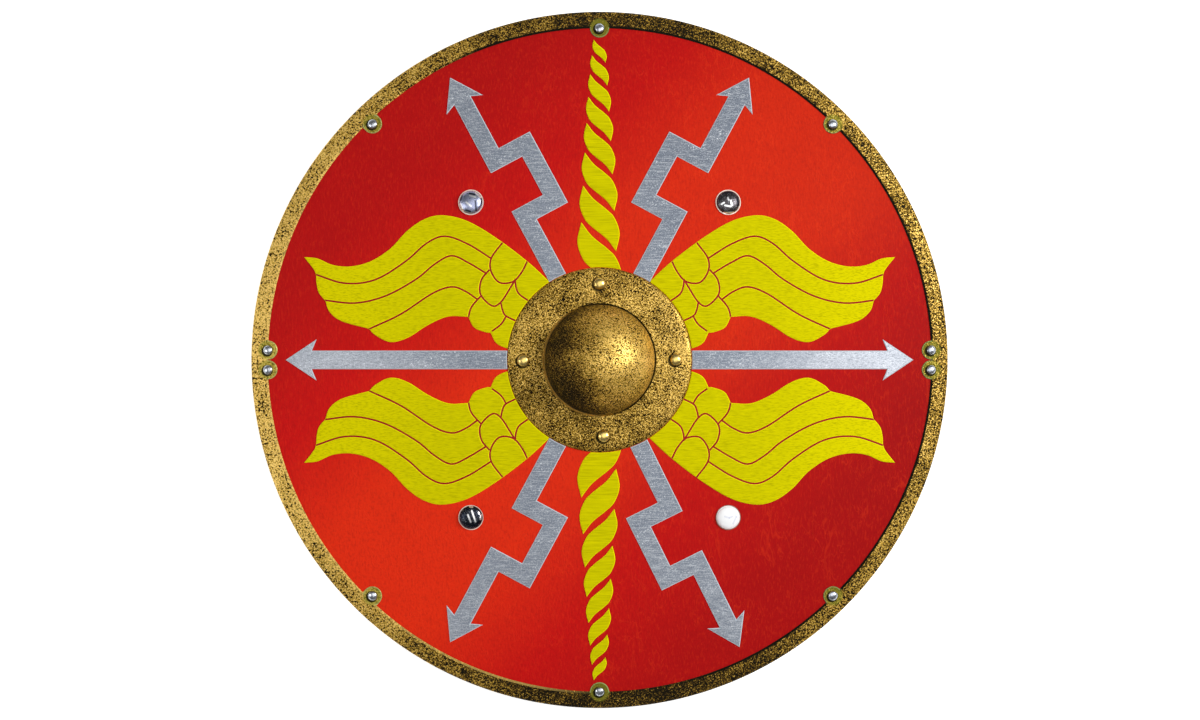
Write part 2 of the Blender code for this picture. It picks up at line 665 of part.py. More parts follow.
def add_line_tool(builder, places):
    """Add the tool of one chased line, a narrow strip along its places."""
    left, right = [], []
    for i, place in enumerate(places):
        before, after = places[max(i - 1, 0)], places[min(i + 1, len(places) - 1)]
        ahead = (after - before).normalized() * WING_LINE_WIDTH / 2
        left.append((place.x - ahead.y, place.y + ahead.x))
        right.append((place.x + ahead.y, place.y - ahead.x))
    add_prism(builder, left + right[::-1], 0.0, SHIELD_RADIUS)


def make_wings(layer, shaft_gaps, material):
    """Four wings, each one sheet with its feathers and scales chased in."""
    face = FIELD_LEVEL + PLATE_THICKNESS
    line_layer = as_cutter(dish_layer("line_layer", HAND_HOLE_RADIUS, RIM_INNER_RADIUS,
                                      face - WING_LINE_DEPTH, face + WING_LINE_DEPTH))
    for side_name, x_sign, y_sign, _ in BOLT_PLACES:
        outline = curve_through(WING_TOP_EDGE, len(WING_TOP_EDGE) - 1)[::-1][:-1]
        for arc in WING_FEATHER_ENDS:
            outline += curve_through(arc, len(arc) - 1)[:-1]
        outline.append(WING_FEATHER_ENDS[-1][-1])
        outline += list(WING_ROOT)[::-1]
        outline = [wing_place(point, x_sign, y_sign) for point in outline]
        wing = make_plate(f"wing_{side_name}", outline, layer, material)
        cut(wing, "DIFFERENCE", shaft_gaps)
        tools = bpy.data.collections.new(f"wing_{side_name}_lines")
        bpy.context.scene.collection.children.link(tools)
        for i, line in enumerate(WING_FEATHER_LINES + WING_SCALE_LINES):
            builder = bmesh.new()
            places = [wing_place(point, x_sign, y_sign) for point in curve_through(line, len(line) - 2)]
            add_line_tool(builder, places)
            tool = as_cutter(add_object(f"wing_{side_name}_line_{i + 1}", builder))
            cut(tool, "INTERSECT", line_layer)
            tools.objects.link(tool)
        cut_all(wing, tools)


def build():
    """Make every piece of the shield."""
    for item in list(bpy.data.objects):
        bpy.data.objects.remove(item, do_unlink=True)
    wood = make_material("board_wood", (0.30, 0.17, 0.08), 0.65, 0.0)
    red = make_material("red_leather", (0.60, 0.02, 0.015), 0.5, 0.0)
    brown = make_material("strap_leather", (0.16, 0.07, 0.03), 0.6, 0.0)
    bronze = make_material("bronze", (0.50, 0.33, 0.10), 0.35, 1.0)
    brass = make_material("brass", (0.78, 0.62, 0.25), 0.25, 1.0)
    steel = make_material("brushed_steel", (0.42, 0.46, 0.53), 0.35, 1.0)
    rivet_steel = make_material("rivet_steel", (0.62, 0.66, 0.72), 0.2, 1.0)
    yellow = make_material("yellow_plate", (0.62, 0.58, 0.01), 0.4, 0.3)

    holes = make_rivets(rivet_steel, brass)
    board = dish_layer("board", HAND_HOLE_RADIUS, BOARD_RADIUS, 0.0, BOARD_THICKNESS, wood)
    cut(board, "DIFFERENCE", holes)
    leather = dish_layer("leather_face", HAND_HOLE_RADIUS, BOARD_RADIUS, LEATHER_LEVEL,
                         LEATHER_LEVEL + LEATHER_THICKNESS, red)
    cut(leather, "DIFFERENCE", holes)
    make_rim(bronze, holes)
    make_boss(bronze, holes)
    make_grip(wood, holes)
    for side_name, x_sign in (("left", -1), ("right", 1)):
        make_strap(f"arm_strap_{side_name}", x_sign, brown, holes)

    layer = as_cutter(dish_layer("plate_layer", FLANGE_RADIUS + PLATE_GAP, RIM_INNER_RADIUS - PLATE_GAP,
                                 FIELD_LEVEL, FIELD_LEVEL + PLATE_THICKNESS))
    shaft_gaps = make_bolts_and_arrows(layer, steel)
    make_leaves(layer, yellow)
    make_wings(layer, shaft_gaps, yellow)


build()
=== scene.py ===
import json
from math import asin, atan2, ceil, copysign, cos, floor, hypot, pi, radians, sin, sqrt

import bmesh
import bpy
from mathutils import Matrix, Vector

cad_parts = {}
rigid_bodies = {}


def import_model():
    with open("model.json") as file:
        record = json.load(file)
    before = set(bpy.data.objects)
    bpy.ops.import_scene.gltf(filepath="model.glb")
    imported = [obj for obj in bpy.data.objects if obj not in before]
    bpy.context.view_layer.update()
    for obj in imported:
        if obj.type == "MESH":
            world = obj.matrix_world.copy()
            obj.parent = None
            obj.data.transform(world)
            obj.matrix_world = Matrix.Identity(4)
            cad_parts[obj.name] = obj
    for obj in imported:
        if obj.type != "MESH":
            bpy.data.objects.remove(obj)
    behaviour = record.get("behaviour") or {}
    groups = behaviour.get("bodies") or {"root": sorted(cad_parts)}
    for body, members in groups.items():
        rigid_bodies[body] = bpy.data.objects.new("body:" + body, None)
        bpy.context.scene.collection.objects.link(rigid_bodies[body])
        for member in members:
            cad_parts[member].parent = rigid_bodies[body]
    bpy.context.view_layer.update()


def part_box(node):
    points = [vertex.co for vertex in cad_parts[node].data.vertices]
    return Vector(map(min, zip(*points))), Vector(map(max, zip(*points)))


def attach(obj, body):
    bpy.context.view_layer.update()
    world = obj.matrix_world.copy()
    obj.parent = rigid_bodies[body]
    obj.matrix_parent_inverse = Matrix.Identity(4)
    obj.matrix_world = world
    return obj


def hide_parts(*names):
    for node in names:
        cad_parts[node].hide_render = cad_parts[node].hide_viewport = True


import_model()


# Board: seven planks of lime glued edge to edge, steamed to a shallow dish and cut round.
# Its back is bare wood, planed and oiled dark, with a shallow groove along each glued seam.
# The hand hole in its middle is under the boss.
DISH_RADIUS = 1.3
HAND_HOLE = 0.06
BOARD_THICKNESS = 0.009
BOARD_SIDES = 160
BOARD_RINGS = 16
PLANK_WIDTH = 0.112
SEAM_WIDTH = 0.0018
SEAM_DEPTH = 0.0009
WOOD_DARK = (0.105, 0.048, 0.019)
WOOD_LIGHT = (0.33, 0.18, 0.078)
board_low, board_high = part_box("board")
BOARD = board_high.x
EDGE_DEPTH = sqrt(DISH_RADIUS ** 2 - BOARD ** 2)


def back_level(radius):
    """Height of the board's back at a radius."""
    return board_low.z + sqrt(DISH_RADIUS ** 2 - radius ** 2) - EDGE_DEPTH


def polar(radius, angle):
    """Plane coordinates of a distance and a direction in radians."""
    return Vector((radius * cos(angle), radius * sin(angle)))


def skin(bm, rows, loop=False):
    """Faces from each closed row of vertices to the next; a loop of rows needs no ends."""
    faces = []
    count = max(len(row) for row in rows)
    for first, second in zip(rows, rows[1:] + rows[:1] if loop else rows[1:]):
        for i in range(count if len(first) + len(second) > 2 else 0):
            j = (i + 1) % count
            near = [first[i % len(first)], first[j % len(first)]]
            far = [second[j % len(second)], second[i % len(second)]]
            faces.append(bm.faces.new(list(dict.fromkeys(near + far))))
    if not loop:
        bm.faces.new(rows[0])
        bm.faces.new(rows[-1])
    return faces


def turn(profile, sides):
    """Turn a closed profile round the shield's axis; a point on the axis stays one vertex."""
    bm = bmesh.new()
    rows = []
    for radius, height in profile:
        angles = [2 * pi * i / sides for i in range(sides if radius > 0 else 1)]
        rows.append([bm.verts.new((*polar(radius, angle), height)) for angle in angles])
    skin(bm, rows, loop=True)
    return bm


def dish_layer(low, high, rings, sides):
    """A layer of the dish round the hand hole, between two levels above the board's back."""
    radii = [HAND_HOLE + (BOARD - HAND_HOLE) * i / rings for i in range(rings + 1)]
    top = [(radius, back_level(radius) + high) for radius in radii]
    return turn(top + [(radius, back_level(radius) + low) for radius in reversed(radii)], sides)


def new_object(name, data):
    """Put an object into the scene; a bmesh becomes its mesh, with its faces pointing out."""
    if isinstance(data, bmesh.types.BMesh):
        bm, data = data, bpy.data.meshes.new(name)
        bmesh.ops.recalc_face_normals(bm, faces=bm.faces)
        bm.to_mesh(data)
        bm.free()
    item = bpy.data.objects.new(name, data)
    bpy.context.scene.collection.objects.link(item)
    return item


def fit_piece(name, shape, nodes, finishes=(), sharp_edge=35.0):
    """Fix a finished shape on the shield, in place of the CAD nodes it stands for."""
    item = new_object(name, shape)
    for finish in finishes:
        item.data.materials.append(finish.material)
    item.data.shade_smooth()
    item.data.set_sharp_from_angle(angle=radians(sharp_edge))
    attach(item, "root")
    if nodes:
        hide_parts(*nodes)


def sum_of(operation, flipped=False):
    """An operator of a wire, worked out by one Math node."""
    return lambda self, *rest: self.work(operation, *([*rest, self] if flipped else [self, *rest]))


class Wire:
    """One output of a node; a sum with it adds the node that works it out."""

    def __init__(self, nodes, socket):
        self.nodes = nodes
        self.socket = socket

    def work(self, operation, *values):
        """Add the Math node of one sum."""
        return self.nodes.add("ShaderNodeMath", {"operation": operation}, dict(enumerate(values)))

    __add__ = sum_of("ADD")
    __sub__ = sum_of("SUBTRACT")
    __rsub__ = sum_of("SUBTRACT", flipped=True)
    __mul__ = sum_of("MULTIPLY")
    __truediv__ = sum_of("DIVIDE")
    __pow__ = sum_of("POWER")
    __abs__ = sum_of("ABSOLUTE")

    def step(self, low, high):
        """From 0 at one value to 1 at the other."""
        return self.nodes.add("ShaderNodeMapRange", {"interpolation_type": "SMOOTHSTEP"}, {
            "Value": self, "From Min": low, "From Max": high})

    def mix(self, first, second):
        """The colour between two others, by this share."""
        return self.nodes.add("ShaderNodeMix", {"data_type": "RGBA"}, {0: self, 6: first, 7: second}, 2)

    def ramp(self, *stops):
        """The colour read off a row of stops."""
        colour = self.nodes.add("ShaderNodeValToRGB", values={0: self})
        elements = colour.socket.node.color_ramp.elements
        while len(elements) < len(stops):
            elements.new(0.5)
        for element, (position, paint) in zip(elements, stops):
            element.position = position
            element.color = (*paint, 1.0)
        return colour


class Nodes:
    """A tree of nodes, filled one node at a time."""

    def __init__(self, tree):
        self.tree = tree

    def put(self, socket, value):
        """Link a wire to a socket, or set the socket's own value."""
        if isinstance(value, Wire):
            self.tree.links.new(value.socket, socket)
        else:
            socket.default_value = (*value, 1.0) if socket.type == "RGBA" else value

    def add(self, kind, settings=(), values=(), output=0):
        """Add a node: first its settings, then the values and links of its sockets."""
        node = self.tree.nodes.new(kind)
        for name, value in dict(settings).items():
            setattr(node, name, value)
        for name, value in dict(values).items():
            self.put(node.inputs[name], value)
        return Wire(self, node.outputs[output])

    def vector(self, operation, first, second, output=0):
        """Add a Vector Math node; distances and dot products are its output 1."""
        return self.add("ShaderNodeVectorMath", {"operation": operation}, {0: first, 1: second}, output)

    def join(self, *parts):
        """Put a place together from its coordinates."""
        return self.add("ShaderNodeCombineXYZ", values=dict(enumerate(parts)))

    def split(self, place):
        """Take a place apart into its coordinates."""
        first = self.add("ShaderNodeSeparateXYZ", (), {0: place})
        return [Wire(self, part) for part in first.socket.node.outputs]


class Finish(Nodes):
    """A material built round one Principled shader."""

    def __init__(self, name, **sockets):
        self.material = bpy.data.materials.new(name)
        self.material.use_nodes = True
        super().__init__(self.material.node_tree)
        self.feed(**sockets)

    def feed(self, **sockets):
        """Set or drive sockets of the shader."""
        for name, value in sockets.items():
            self.put(self.tree.nodes["Principled BSDF"].inputs[name.replace("_", " ")], value)

    def relief(self, height, depth):
        """Fine relief of a depth in metres, too shallow to be modelled."""
        self.feed(Normal=self.add("ShaderNodeBump", (), {"Height": height, "Distance": depth}))

    def here(self):
        """Place on the shield, in metres."""
        return self.add("ShaderNodeTexCoord", output="Object")

    def noise(self, grain, detail=2.0, stretch=(1.0, 1.0), turned=0.0, distortion=0.0, roughness=0.5):
        """Noise of a grain size in metres, stretched along X and Y and turned in its plane."""
        place = self.add("ShaderNodeMapping", {"vector_type": "TEXTURE"}, {
            "Vector": self.here(), "Rotation": (0.0, 0.0, turned), "Scale": (*stretch, 1.0)})
        return self.add("ShaderNodeTexNoise", (), {
            "Vector": place, "Scale": 1 / grain, "Detail": detail,
            "Roughness": roughness, "Distortion": distortion})


def oiled_wood(name, plank_width=None):
    """Straight-grained oiled wood, its grain along Y, each plank of its own tone."""
    wood = Finish(name, Specular_IOR_Level=0.35)
    fibre = wood.noise(0.0016, 4.0, (1.0, 60.0))
    rings = wood.noise(0.016, 3.0, (1.0, 14.0), distortion=0.6)
    tone = rings * 0.7 + fibre * 0.5 - 0.1
    if plank_width:
        x, y, z = wood.split(wood.here())
        plank = x.work("FLOOR", x / plank_width + 0.5)
        shade = wood.add("ShaderNodeTexWhiteNoise", {"noise_dimensions": "1D"}, {"W": plank})
        tone = tone + shade * 0.22 - 0.11
    wood.feed(Base_Color=tone.ramp((0.25, WOOD_DARK), (0.85, WOOD_LIGHT)), Roughness=fibre * 0.2 + 0.42)
    wood.relief(fibre, 0.0004)
    return wood


def divide(bm, place, normal):
    """Divide a shape's faces along a plane."""
    geometry = bm.verts[:] + bm.edges[:] + bm.faces[:]
    bmesh.ops.bisect_plane(bm, geom=geometry, plane_co=place, plane_no=normal)


bm = dish_layer(0.0, BOARD_THICKNESS, BOARD_RINGS, BOARD_SIDES)
seam_count = int(BOARD / PLANK_WIDTH + 0.5)
seams = [(i + 0.5) * PLANK_WIDTH for i in range(-seam_count, seam_count)]
for seam in seams:
    for edge in (-SEAM_WIDTH / 2, 0.0, SEAM_WIDTH / 2):
        divide(bm, (seam + edge, 0.0, 0.0), (1.0, 0.0, 0.0))
for vert in bm.verts:
    under = vert.co.z < back_level(vert.co.xy.length) + BOARD_THICKNESS / 2
    if under and min(abs(vert.co.x - seam) for seam in seams) < SEAM_WIDTH / 8:
        vert.co.z += SEAM_DEPTH
fit_piece("planked_board", bm, ["board"], [oiled_wood("oiled_lime_planks", PLANK_WIDTH)])


# Face of the board: one hide of leather dyed red and glued down, 2 mm thick.
# The red carries a painted sheen: vermilion along the diagonal from the lower left to the upper right, and
# deep crimson as painted shade at the upper left and lower right. It is also painted paler towards the left
# and the bottom, to even out the light from the right. The hide shows a fine upright grain and thin creases
# where it was stretched over the dish.
LEATHER_LEVEL = 0.0093
LEATHER_THICKNESS = 0.002
LEATHER_SIDES = 192
LEATHER_RINGS = 24
DEEP_CRIMSON = (0.415, 0.0054, 0.0056)
CRIMSON = (0.53, 0.0064, 0.0058)
VERMILION = (0.69, 0.0245, 0.0056)
CREASE_ORANGE = (0.85, 0.052, 0.01)
CREASE_DARK = (0.25, 0.005, 0.005)
SHEEN_BAND_REACH = 0.36
PAINTED_LIGHT_LEFT = 0.45
PAINTED_LIGHT_BELOW = 0.1

leather = Finish("red_dyed_leather", Specular_IOR_Level=0.05)
x, y, z = leather.split(leather.here())
# Painted sheen: vermilion along the diagonal from lower left to upper right, deep crimson as painted shade
# away from it
aside = abs(x - y + leather.noise(0.22, 1.0) * 0.04 - 0.02) * sqrt(0.5) / SHEEN_BAND_REACH
# Painted light: paler towards the left and the bottom to even out the light from the right, times a random
# tone
painted_light_and_tone = (1.0 - x * PAINTED_LIGHT_LEFT - y * PAINTED_LIGHT_BELOW) * (leather.noise(0.045, 3.0) * 0.12 + 0.94)
between = tuple((a + b) / 2 for a, b in zip(CRIMSON, VERMILION))
colour = leather.vector("MULTIPLY", painted_light_and_tone, aside.ramp(
    (0.22, VERMILION), (0.36, between), (0.52, CRIMSON), (0.86, DEEP_CRIMSON)))
fibre = leather.noise(0.0018, stretch=(1.0, 4.0))
pebble = leather.noise(0.0026)
pull = leather.noise(0.015, stretch=(1.0, 4.5), distortion=0.4)
slant = leather.noise(0.011, stretch=(1.0, 3.5), turned=0.3, distortion=0.4)
crease = abs(pull - 0.5).step(0.02, 0.003)
crease = crease.work("MAXIMUM", crease, abs(slant - 0.5).step(0.018, 0.003))
crease = crease * leather.noise(0.045).step(0.42, 0.6)
for share, paint in (
        (crease * (x.step(-0.25, 0.15) * 0.7 + 0.3) * 0.18, CREASE_ORANGE),
        (fibre.step(0.5, 0.75) * 0.17, CREASE_ORANGE), (fibre.step(0.5, 0.25) * 0.2, CREASE_DARK),
        (pebble.step(0.55, 0.3) * 0.14, CREASE_DARK)):
    colour = share.mix(colour, paint)
leather.feed(Base_Color=colour, Roughness=pebble * 0.25 + 0.45)
leather.relief(pebble * 0.4 + fibre * 0.5 + crease * 0.5, 0.00025)
bm = dish_layer(LEATHER_LEVEL, LEATHER_LEVEL + LEATHER_THICKNESS, LEATHER_RINGS, LEATHER_SIDES)
fit_piece("red_leather_face", bm, ["leather_face"], [leather])


# Edge binding: a bronze strip folded into a channel over the edge of board and leather, with half-round
# lugs for the rivets on its front leg. Its pitted face is painted brighter towards the left and right sides,
# most on the left, as painted reflection and light, and a little darker at the bottom. Its inner bevel
# carries painted shade at the upper right and a painted highlight at the lower left, and a painted shadow
# lies beside each rivet towards the lower left.
RIM_SHEET = 0.0012
RIM_WALL = 0.0024
RIM_FRONT_LEG = 0.0192
RIM_BACK_LEG = 0.012
RIM_EDGE_ROUND = 0.0035
RIM_FOOT_WIDTH = 0.003
RIM_BEVEL = 0.0026
RIM_BEVEL_DEPTH = 0.0008
RIM_COLUMNS = 360
RIM_ROUND_STEPS = 5
RIM_PAIR_GAP = 0.0006
FIT = 0.0003
LUG_RADIUS = 0.011
LUG_BEVEL = 0.0008
LUG_STEPS = 28
LUG_CORNER = 0.0002
LUG_CLEAR = 0.002
SHADOW_SHIFT = 0.001
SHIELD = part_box("rim_binding")[1].x
RIM_INNER = SHIELD - RIM_FRONT_LEG
FIELD_LEVEL = LEATHER_LEVEL + LEATHER_THICKNESS + FIT
RIM_TOP = FIELD_LEVEL + RIM_SHEET
# Direction, shift outwards, and which of a pair
RIM_RIVET_PLACES = (
    (90.0, 0.0, 0), (45.3, 0.0, 0), (0.0, 0.0, 1), (0.0, 0.0, -1), (-45.3, 0.0, 0),
    (-90.0, 0.0, 0), (-133.9, -0.005, 0), (180.0, 0.0, 1), (180.0, 0.0, -1), (133.9, -0.005, 0),
)
# Direction of the painted highlights; the other side takes painted shade
HIGHLIGHT_SIDE = radians(200.0)
BRONZE_PIT = (0.01, 0.007, 0.002)
BRONZE_BROWN = (0.155, 0.083, 0.01)
BRONZE_GOLD = (0.61, 0.365, 0.04)
BRONZE_BRIGHT = (0.96, 0.66, 0.185)
BRONZE_GREEN = (0.33, 0.32, 0.03)
LUG_EDGE_GREEN = (0.56, 0.72, 0.3)
# Black of the painted shade and shadows on rim and boss, and of the scratches on the bowl
SHADE_AND_SCRATCH_BLACK = (0.006, 0.007, 0.002)


def rim_place(degrees, shift, pair):
    """Direction in radians and place of a lug of the binding, a pair's two lugs side by side."""
    radius = RIM_INNER + shift
    direction = radians(degrees) + asin(pair * (LUG_RADIUS + RIM_PAIR_GAP / 2) / radius)
    return direction, polar(radius, direction)


def plain_column(angle):
    """Direction, edge of the front leg and inner side of its bevel, away from the lugs."""
    outer = RIM_INNER + RIM_BEVEL
    return angle % (2 * pi), polar(RIM_INNER, angle), polar(outer, angle)


def rim_columns():
    """Columns all round the rim, close together along the lugs."""
    columns, taken = [], []
    for place in RIM_RIVET_PLACES:
        direction, centre = rim_place(*place)
        out, across = polar(1.0, direction), polar(1.0, direction + pi / 2)
        reach = asin(LUG_RADIUS / centre.length)
        for i in range(LUG_STEPS + 1):
            swing = (pi / 2 - reach) * (2 * i / LUG_STEPS - 1)
            ray = across * sin(swing) - out * cos(swing)
            edge, inset = centre + ray * LUG_RADIUS, centre + ray * (LUG_RADIUS - LUG_BEVEL)
            columns.append((atan2(edge.y, edge.x) % (2 * pi), edge, inset))
        corner = asin(LUG_RADIUS / RIM_INNER) + LUG_CORNER / RIM_INNER
        taken.append((direction, max(reach, corner) + LUG_CLEAR))
        columns += [plain_column(direction - corner), plain_column(direction + corner)]
    for angle in (2 * pi * i / RIM_COLUMNS for i in range(RIM_COLUMNS)):
        gaps = [abs((angle - direction + pi) % (2 * pi) - pi) for direction, _ in taken]
        if all(gap > reach for gap, (_, reach) in zip(gaps, taken)):
            columns.append(plain_column(angle))
    return sorted(columns, key=lambda column: column[0])


def rim_section(angle, edge, inset):
    """One closed section through the channel."""
    wall_inside = BOARD + FIT
    round_start = SHIELD - RIM_EDGE_ROUND
    back_inner = SHIELD - RIM_BACK_LEG
    foot_outer = SHIELD - RIM_WALL / 2
    points = []
    for place, level in ((edge, FIELD_LEVEL), (edge, RIM_TOP - RIM_BEVEL_DEPTH), (inset, RIM_TOP)):
        points.append((*place, back_level(place.length) + level))
    radii = [RIM_INNER + (round_start - RIM_INNER) * share for share in (0.25, 0.5, 0.75)]
    profile = [(radius, back_level(radius) + RIM_TOP) for radius in radii]
    for i in range(RIM_ROUND_STEPS + 1):
        swing = pi / 2 * i / RIM_ROUND_STEPS
        drop = RIM_EDGE_ROUND / 2 * (1 - cos(swing))
        radius = round_start + RIM_EDGE_ROUND * sin(swing)
        profile.append((radius, back_level(radius) + RIM_TOP - drop))
    profile += [
        (SHIELD, RIM_EDGE_ROUND), (foot_outer, 0.0), (foot_outer - RIM_FOOT_WIDTH, 0.0),
        (back_inner, back_level(back_inner) - FIT - RIM_SHEET), (back_inner, back_level(back_inner) - FIT),
        (wall_inside, back_level(wall_inside) - FIT), (wall_inside, back_level(wall_inside) + FIELD_LEVEL),
    ]
    return points + [(*polar(radius, angle), height) for radius, height in profile]


def cast_bronze(name, metallic, grain):
    """Pitted bronze, with its place, distance from the middle and share of the side that takes painted
    highlights, and its tone.
    """
    bronze = Finish(name, Metallic=metallic)
    x, y, z = bronze.split(bronze.here())
    radius = (x * x + y * y) ** 0.5
    highlight_side = (x * cos(HIGHLIGHT_SIDE) + y * sin(HIGHLIGHT_SIDE)) / radius
    patch = bronze.noise(0.026, 4.0, roughness=0.6)
    pit = bronze.noise(grain * 1.6, 1.0).step(0.56, 0.63) * (patch.step(0.6, 0.42) * 0.5 + 0.5)
    speck, fleck = bronze.noise(grain, roughness=0.7), bronze.noise(grain * 0.6)
    tone = speck * 1.7 + fleck * 1.2 + patch * 0.5 - pit * 0.6
    return bronze, x, y, radius, highlight_side, tone - 1.14


def cast_colour(bronze, tone):
    """Colour of the cast bronze by its tone; the gloss and the relief that go with it are set too."""
    bronze.feed(Roughness=0.68 - tone.step(0.3, 0.8) * 0.2)
    bronze.relief(tone.step(0.15, 0.6), 0.0006)
    return tone.ramp((0.2, BRONZE_PIT), (0.36, BRONZE_BROWN), (0.56, BRONZE_GOLD), (0.8, BRONZE_BRIGHT))


def nearest(finish, x, y, places):
    """Distance to the nearest of some places, seen from above."""
    flat = finish.join(x, y)
    near = 1.0
    for place in places:
        gap = finish.vector("DISTANCE", flat, (*place, 0.0), 1)
        near = gap.work("MINIMUM", near, gap)
    return near


bm = bmesh.new()
rows = [[bm.verts.new(point) for point in rim_section(*column)] for column in rim_columns()]
skin(bm, rows, loop=True)
rim_bronze, x, y, radius, highlight_side, tone = cast_bronze("pitted_rim_bronze", 0.6, 0.0016)
rim_bronze.feed(Specular_IOR_Level=0.2)
rim_places = [rim_place(*row)[1] for row in RIM_RIVET_PLACES]
near = nearest(rim_bronze, x, y, rim_places)
# Painted shadow: a dark disc beside each rivet, shifted to the lower left
rivet_shadow = nearest(rim_bronze, x + SHADOW_SHIFT, y + SHADOW_SHIFT, rim_places).step(0.007, 0.0061)
lug = near.step(0.0125, 0.0095)
inset = near.work("MAXIMUM", radius - RIM_INNER, LUG_RADIUS - near)
bevel = inset.step(0.003, 0.002) * (1.0 - lug)
# Painted reflection and light: brighter towards the left and right sides, most on the left, and a little
# darker at the bottom
painted_rim_light = abs(x).step(0.0, 0.36) * 0.31 - x * 0.3 - y.step(-0.28, -0.39) * 0.1
colour = cast_colour(rim_bronze, tone + painted_rim_light - 0.3)
for share, paint in (
        (lug * 0.6, BRONZE_GREEN), (lug * inset.step(0.0014, 0.0008) * 0.7, LUG_EDGE_GREEN),
        (rivet_shadow * 0.95, SHADE_AND_SCRATCH_BLACK),
        # Painted shade on the inner bevel at the upper right, and a painted highlight on it at the lower left
        (bevel * highlight_side.step(0.24, 0.0), SHADE_AND_SCRATCH_BLACK),
        (bevel * highlight_side.step(0.3, 0.6) * 0.5, BRONZE_BRIGHT)):
    colour = share.mix(colour, paint)
rim_bronze.feed(Base_Color=colour)
fit_piece("bronze_rim", bm, ["rim_binding"], [rim_bronze])


# Bolts and arrows: zigzag lightning bolts and straight arrows, cut from brushed steel sheet
# and bent to the dish; their inner ends go under the flange of the boss.
# Their upper edges are filed to a narrow bevel, painted pale as a highlight.
PLATE_GAP = 0.0005
PLATE = 0.0011
PLATE_BEVEL = 0.0009
PLATE_BEVEL_DROP = 0.0009
PLATE_STEP = 0.012
FILED_EDGE = 20.0
MERGE = 0.00012
STRAIGHT = radians(0.2)
TOOL_REACH = 0.01
OPEN_FACE_SIDES = 256
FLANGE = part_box("boss")[1].x
BOWL = 0.063
STROKE = 0.0212
BARB_LENGTH = 0.0358
BARB_HALF_WIDTH = 0.0236
NOTCH_LENGTH = 0.0303
ARROW_TIP = RIM_INNER - 0.0208
BOLT_TIP = RIM_INNER - 0.0143
BOLT_REACH = BOLT_TIP - BOWL
BOLT_LENGTH = BOLT_TIP - FLANGE
BOLT_JOG_SIDE = 0.0511
BOLT_JOG_START = BOLT_LENGTH * 0.377
BOLT_JOG_END = BOLT_LENGTH * 0.731
BOLT_SKEW = 0.35
BOLT_PLACES = (
    ("upper_left", -1, 1, 27.9), ("upper_right", 1, 1, 27.9),
    ("lower_left", -1, -1, 27.9), ("lower_right", 1, -1, 26.0),
)
STEEL_GREY = (0.205, 0.234, 0.286)
STEEL_BRIGHT = (0.64, 0.672, 0.742)
STEEL_DARK = (0.14, 0.165, 0.21)
STEEL_PALE = (0.9, 0.93, 0.96)
STEEL_EDGE_HIGHLIGHT = (0.4, 0.56, 0.6)


def prism(outline, low, high):
    """An upright body on a plane outline."""
    bm = bmesh.new()
    base = bm.faces.new([bm.verts.new((*place, low)) for place in outline])
    result = bmesh.ops.extrude_face_region(bm, geom=[base])
    moved = [part for part in result["geom"] if isinstance(part, bmesh.types.BMVert)]
    bmesh.ops.translate(bm, verts=moved, vec=(0.0, 0.0, high - low))
    return bm


def cut(item, operation, tool):
    """Trim an object by a tool, or by a whole collection of them."""
    modifier = item.modifiers.new("cut", "BOOLEAN")
    modifier.operation = operation
    modifier.solver = "EXACT"
    modifier.material_mode = "TRANSFER"
    if isinstance(tool, bpy.types.Collection):
        modifier.operand_type = "COLLECTION"
        modifier.collection = tool
    else:
        modifier.object = tool


def applied(item):
    """The mesh that an object's modifiers leave; the object itself goes."""
    evaluated = item.evaluated_get(bpy.context.evaluated_depsgraph_get())
    mesh = bpy.data.meshes.new_from_object(evaluated)
    item.modifiers.clear()
    bpy.data.objects.remove(item)
    return mesh


def cut_sheet(outline, *tools):
    """A flat sheet cut to an outline and to the open face; its filed upper edge takes the second finish, a
    painted highlight.
    """
    blank = new_object("sheet_blank", prism(outline, 0.0, PLATE))
    cut(blank, "INTERSECT", open_face)
    for tool in tools:
        cut(blank, "DIFFERENCE", tool)
    bm = bmesh.new()
    bm.from_mesh(applied(blank))
    bmesh.ops.remove_doubles(bm, verts=bm.verts, dist=MERGE)
    bmesh.ops.dissolve_limit(bm, angle_limit=STRAIGHT, verts=bm.verts, edges=bm.edges)
    bmesh.ops.recalc_face_normals(bm, faces=bm.faces)
    top = [face for face in bm.faces if face.normal.z > 0.9]
    bevel = bmesh.ops.inset_region(bm, faces=top, thickness=PLATE_BEVEL, use_even_offset=True)["faces"]
    kept = {vert for face in top for vert in face.verts}
    for vert in {vert for face in bevel for vert in face.verts} - kept:
        vert.co.z -= PLATE_BEVEL_DROP
    for face in bevel:
        face.material_index = 1
    return bm


def fit_sheet(kind, node, bm, finishes):
    """Divide a flat sheet finely, bend it to the dished face and fix it there."""
    bmesh.ops.triangulate(bm, faces=bm.faces)
    for axis, normal in enumerate((Vector((1.0, 0.0, 0.0)), Vector((0.0, 1.0, 0.0)))):
        places = [vert.co[axis] for vert in bm.verts]
        for k in range(ceil(min(places) / PLATE_STEP), floor(max(places) / PLATE_STEP) + 1):
            divide(bm, normal * k * PLATE_STEP, normal)
    for vert in bm.verts:
        vert.co.z += back_level(vert.co.xy.length) + FIELD_LEVEL
    fit_piece(kind + node, bm, [node], finishes, FILED_EDGE)


def mirrored(places):
    """The other side of an outline, on the way back."""
    return [(along, -across) for along, across in reversed(places)]


def place_outline(outline, tip, direction, side):
    """Lay an outline on the face: its tip, the way it points back from it, and the way across."""
    return [tip + direction * along + side * across for along, across in outline]


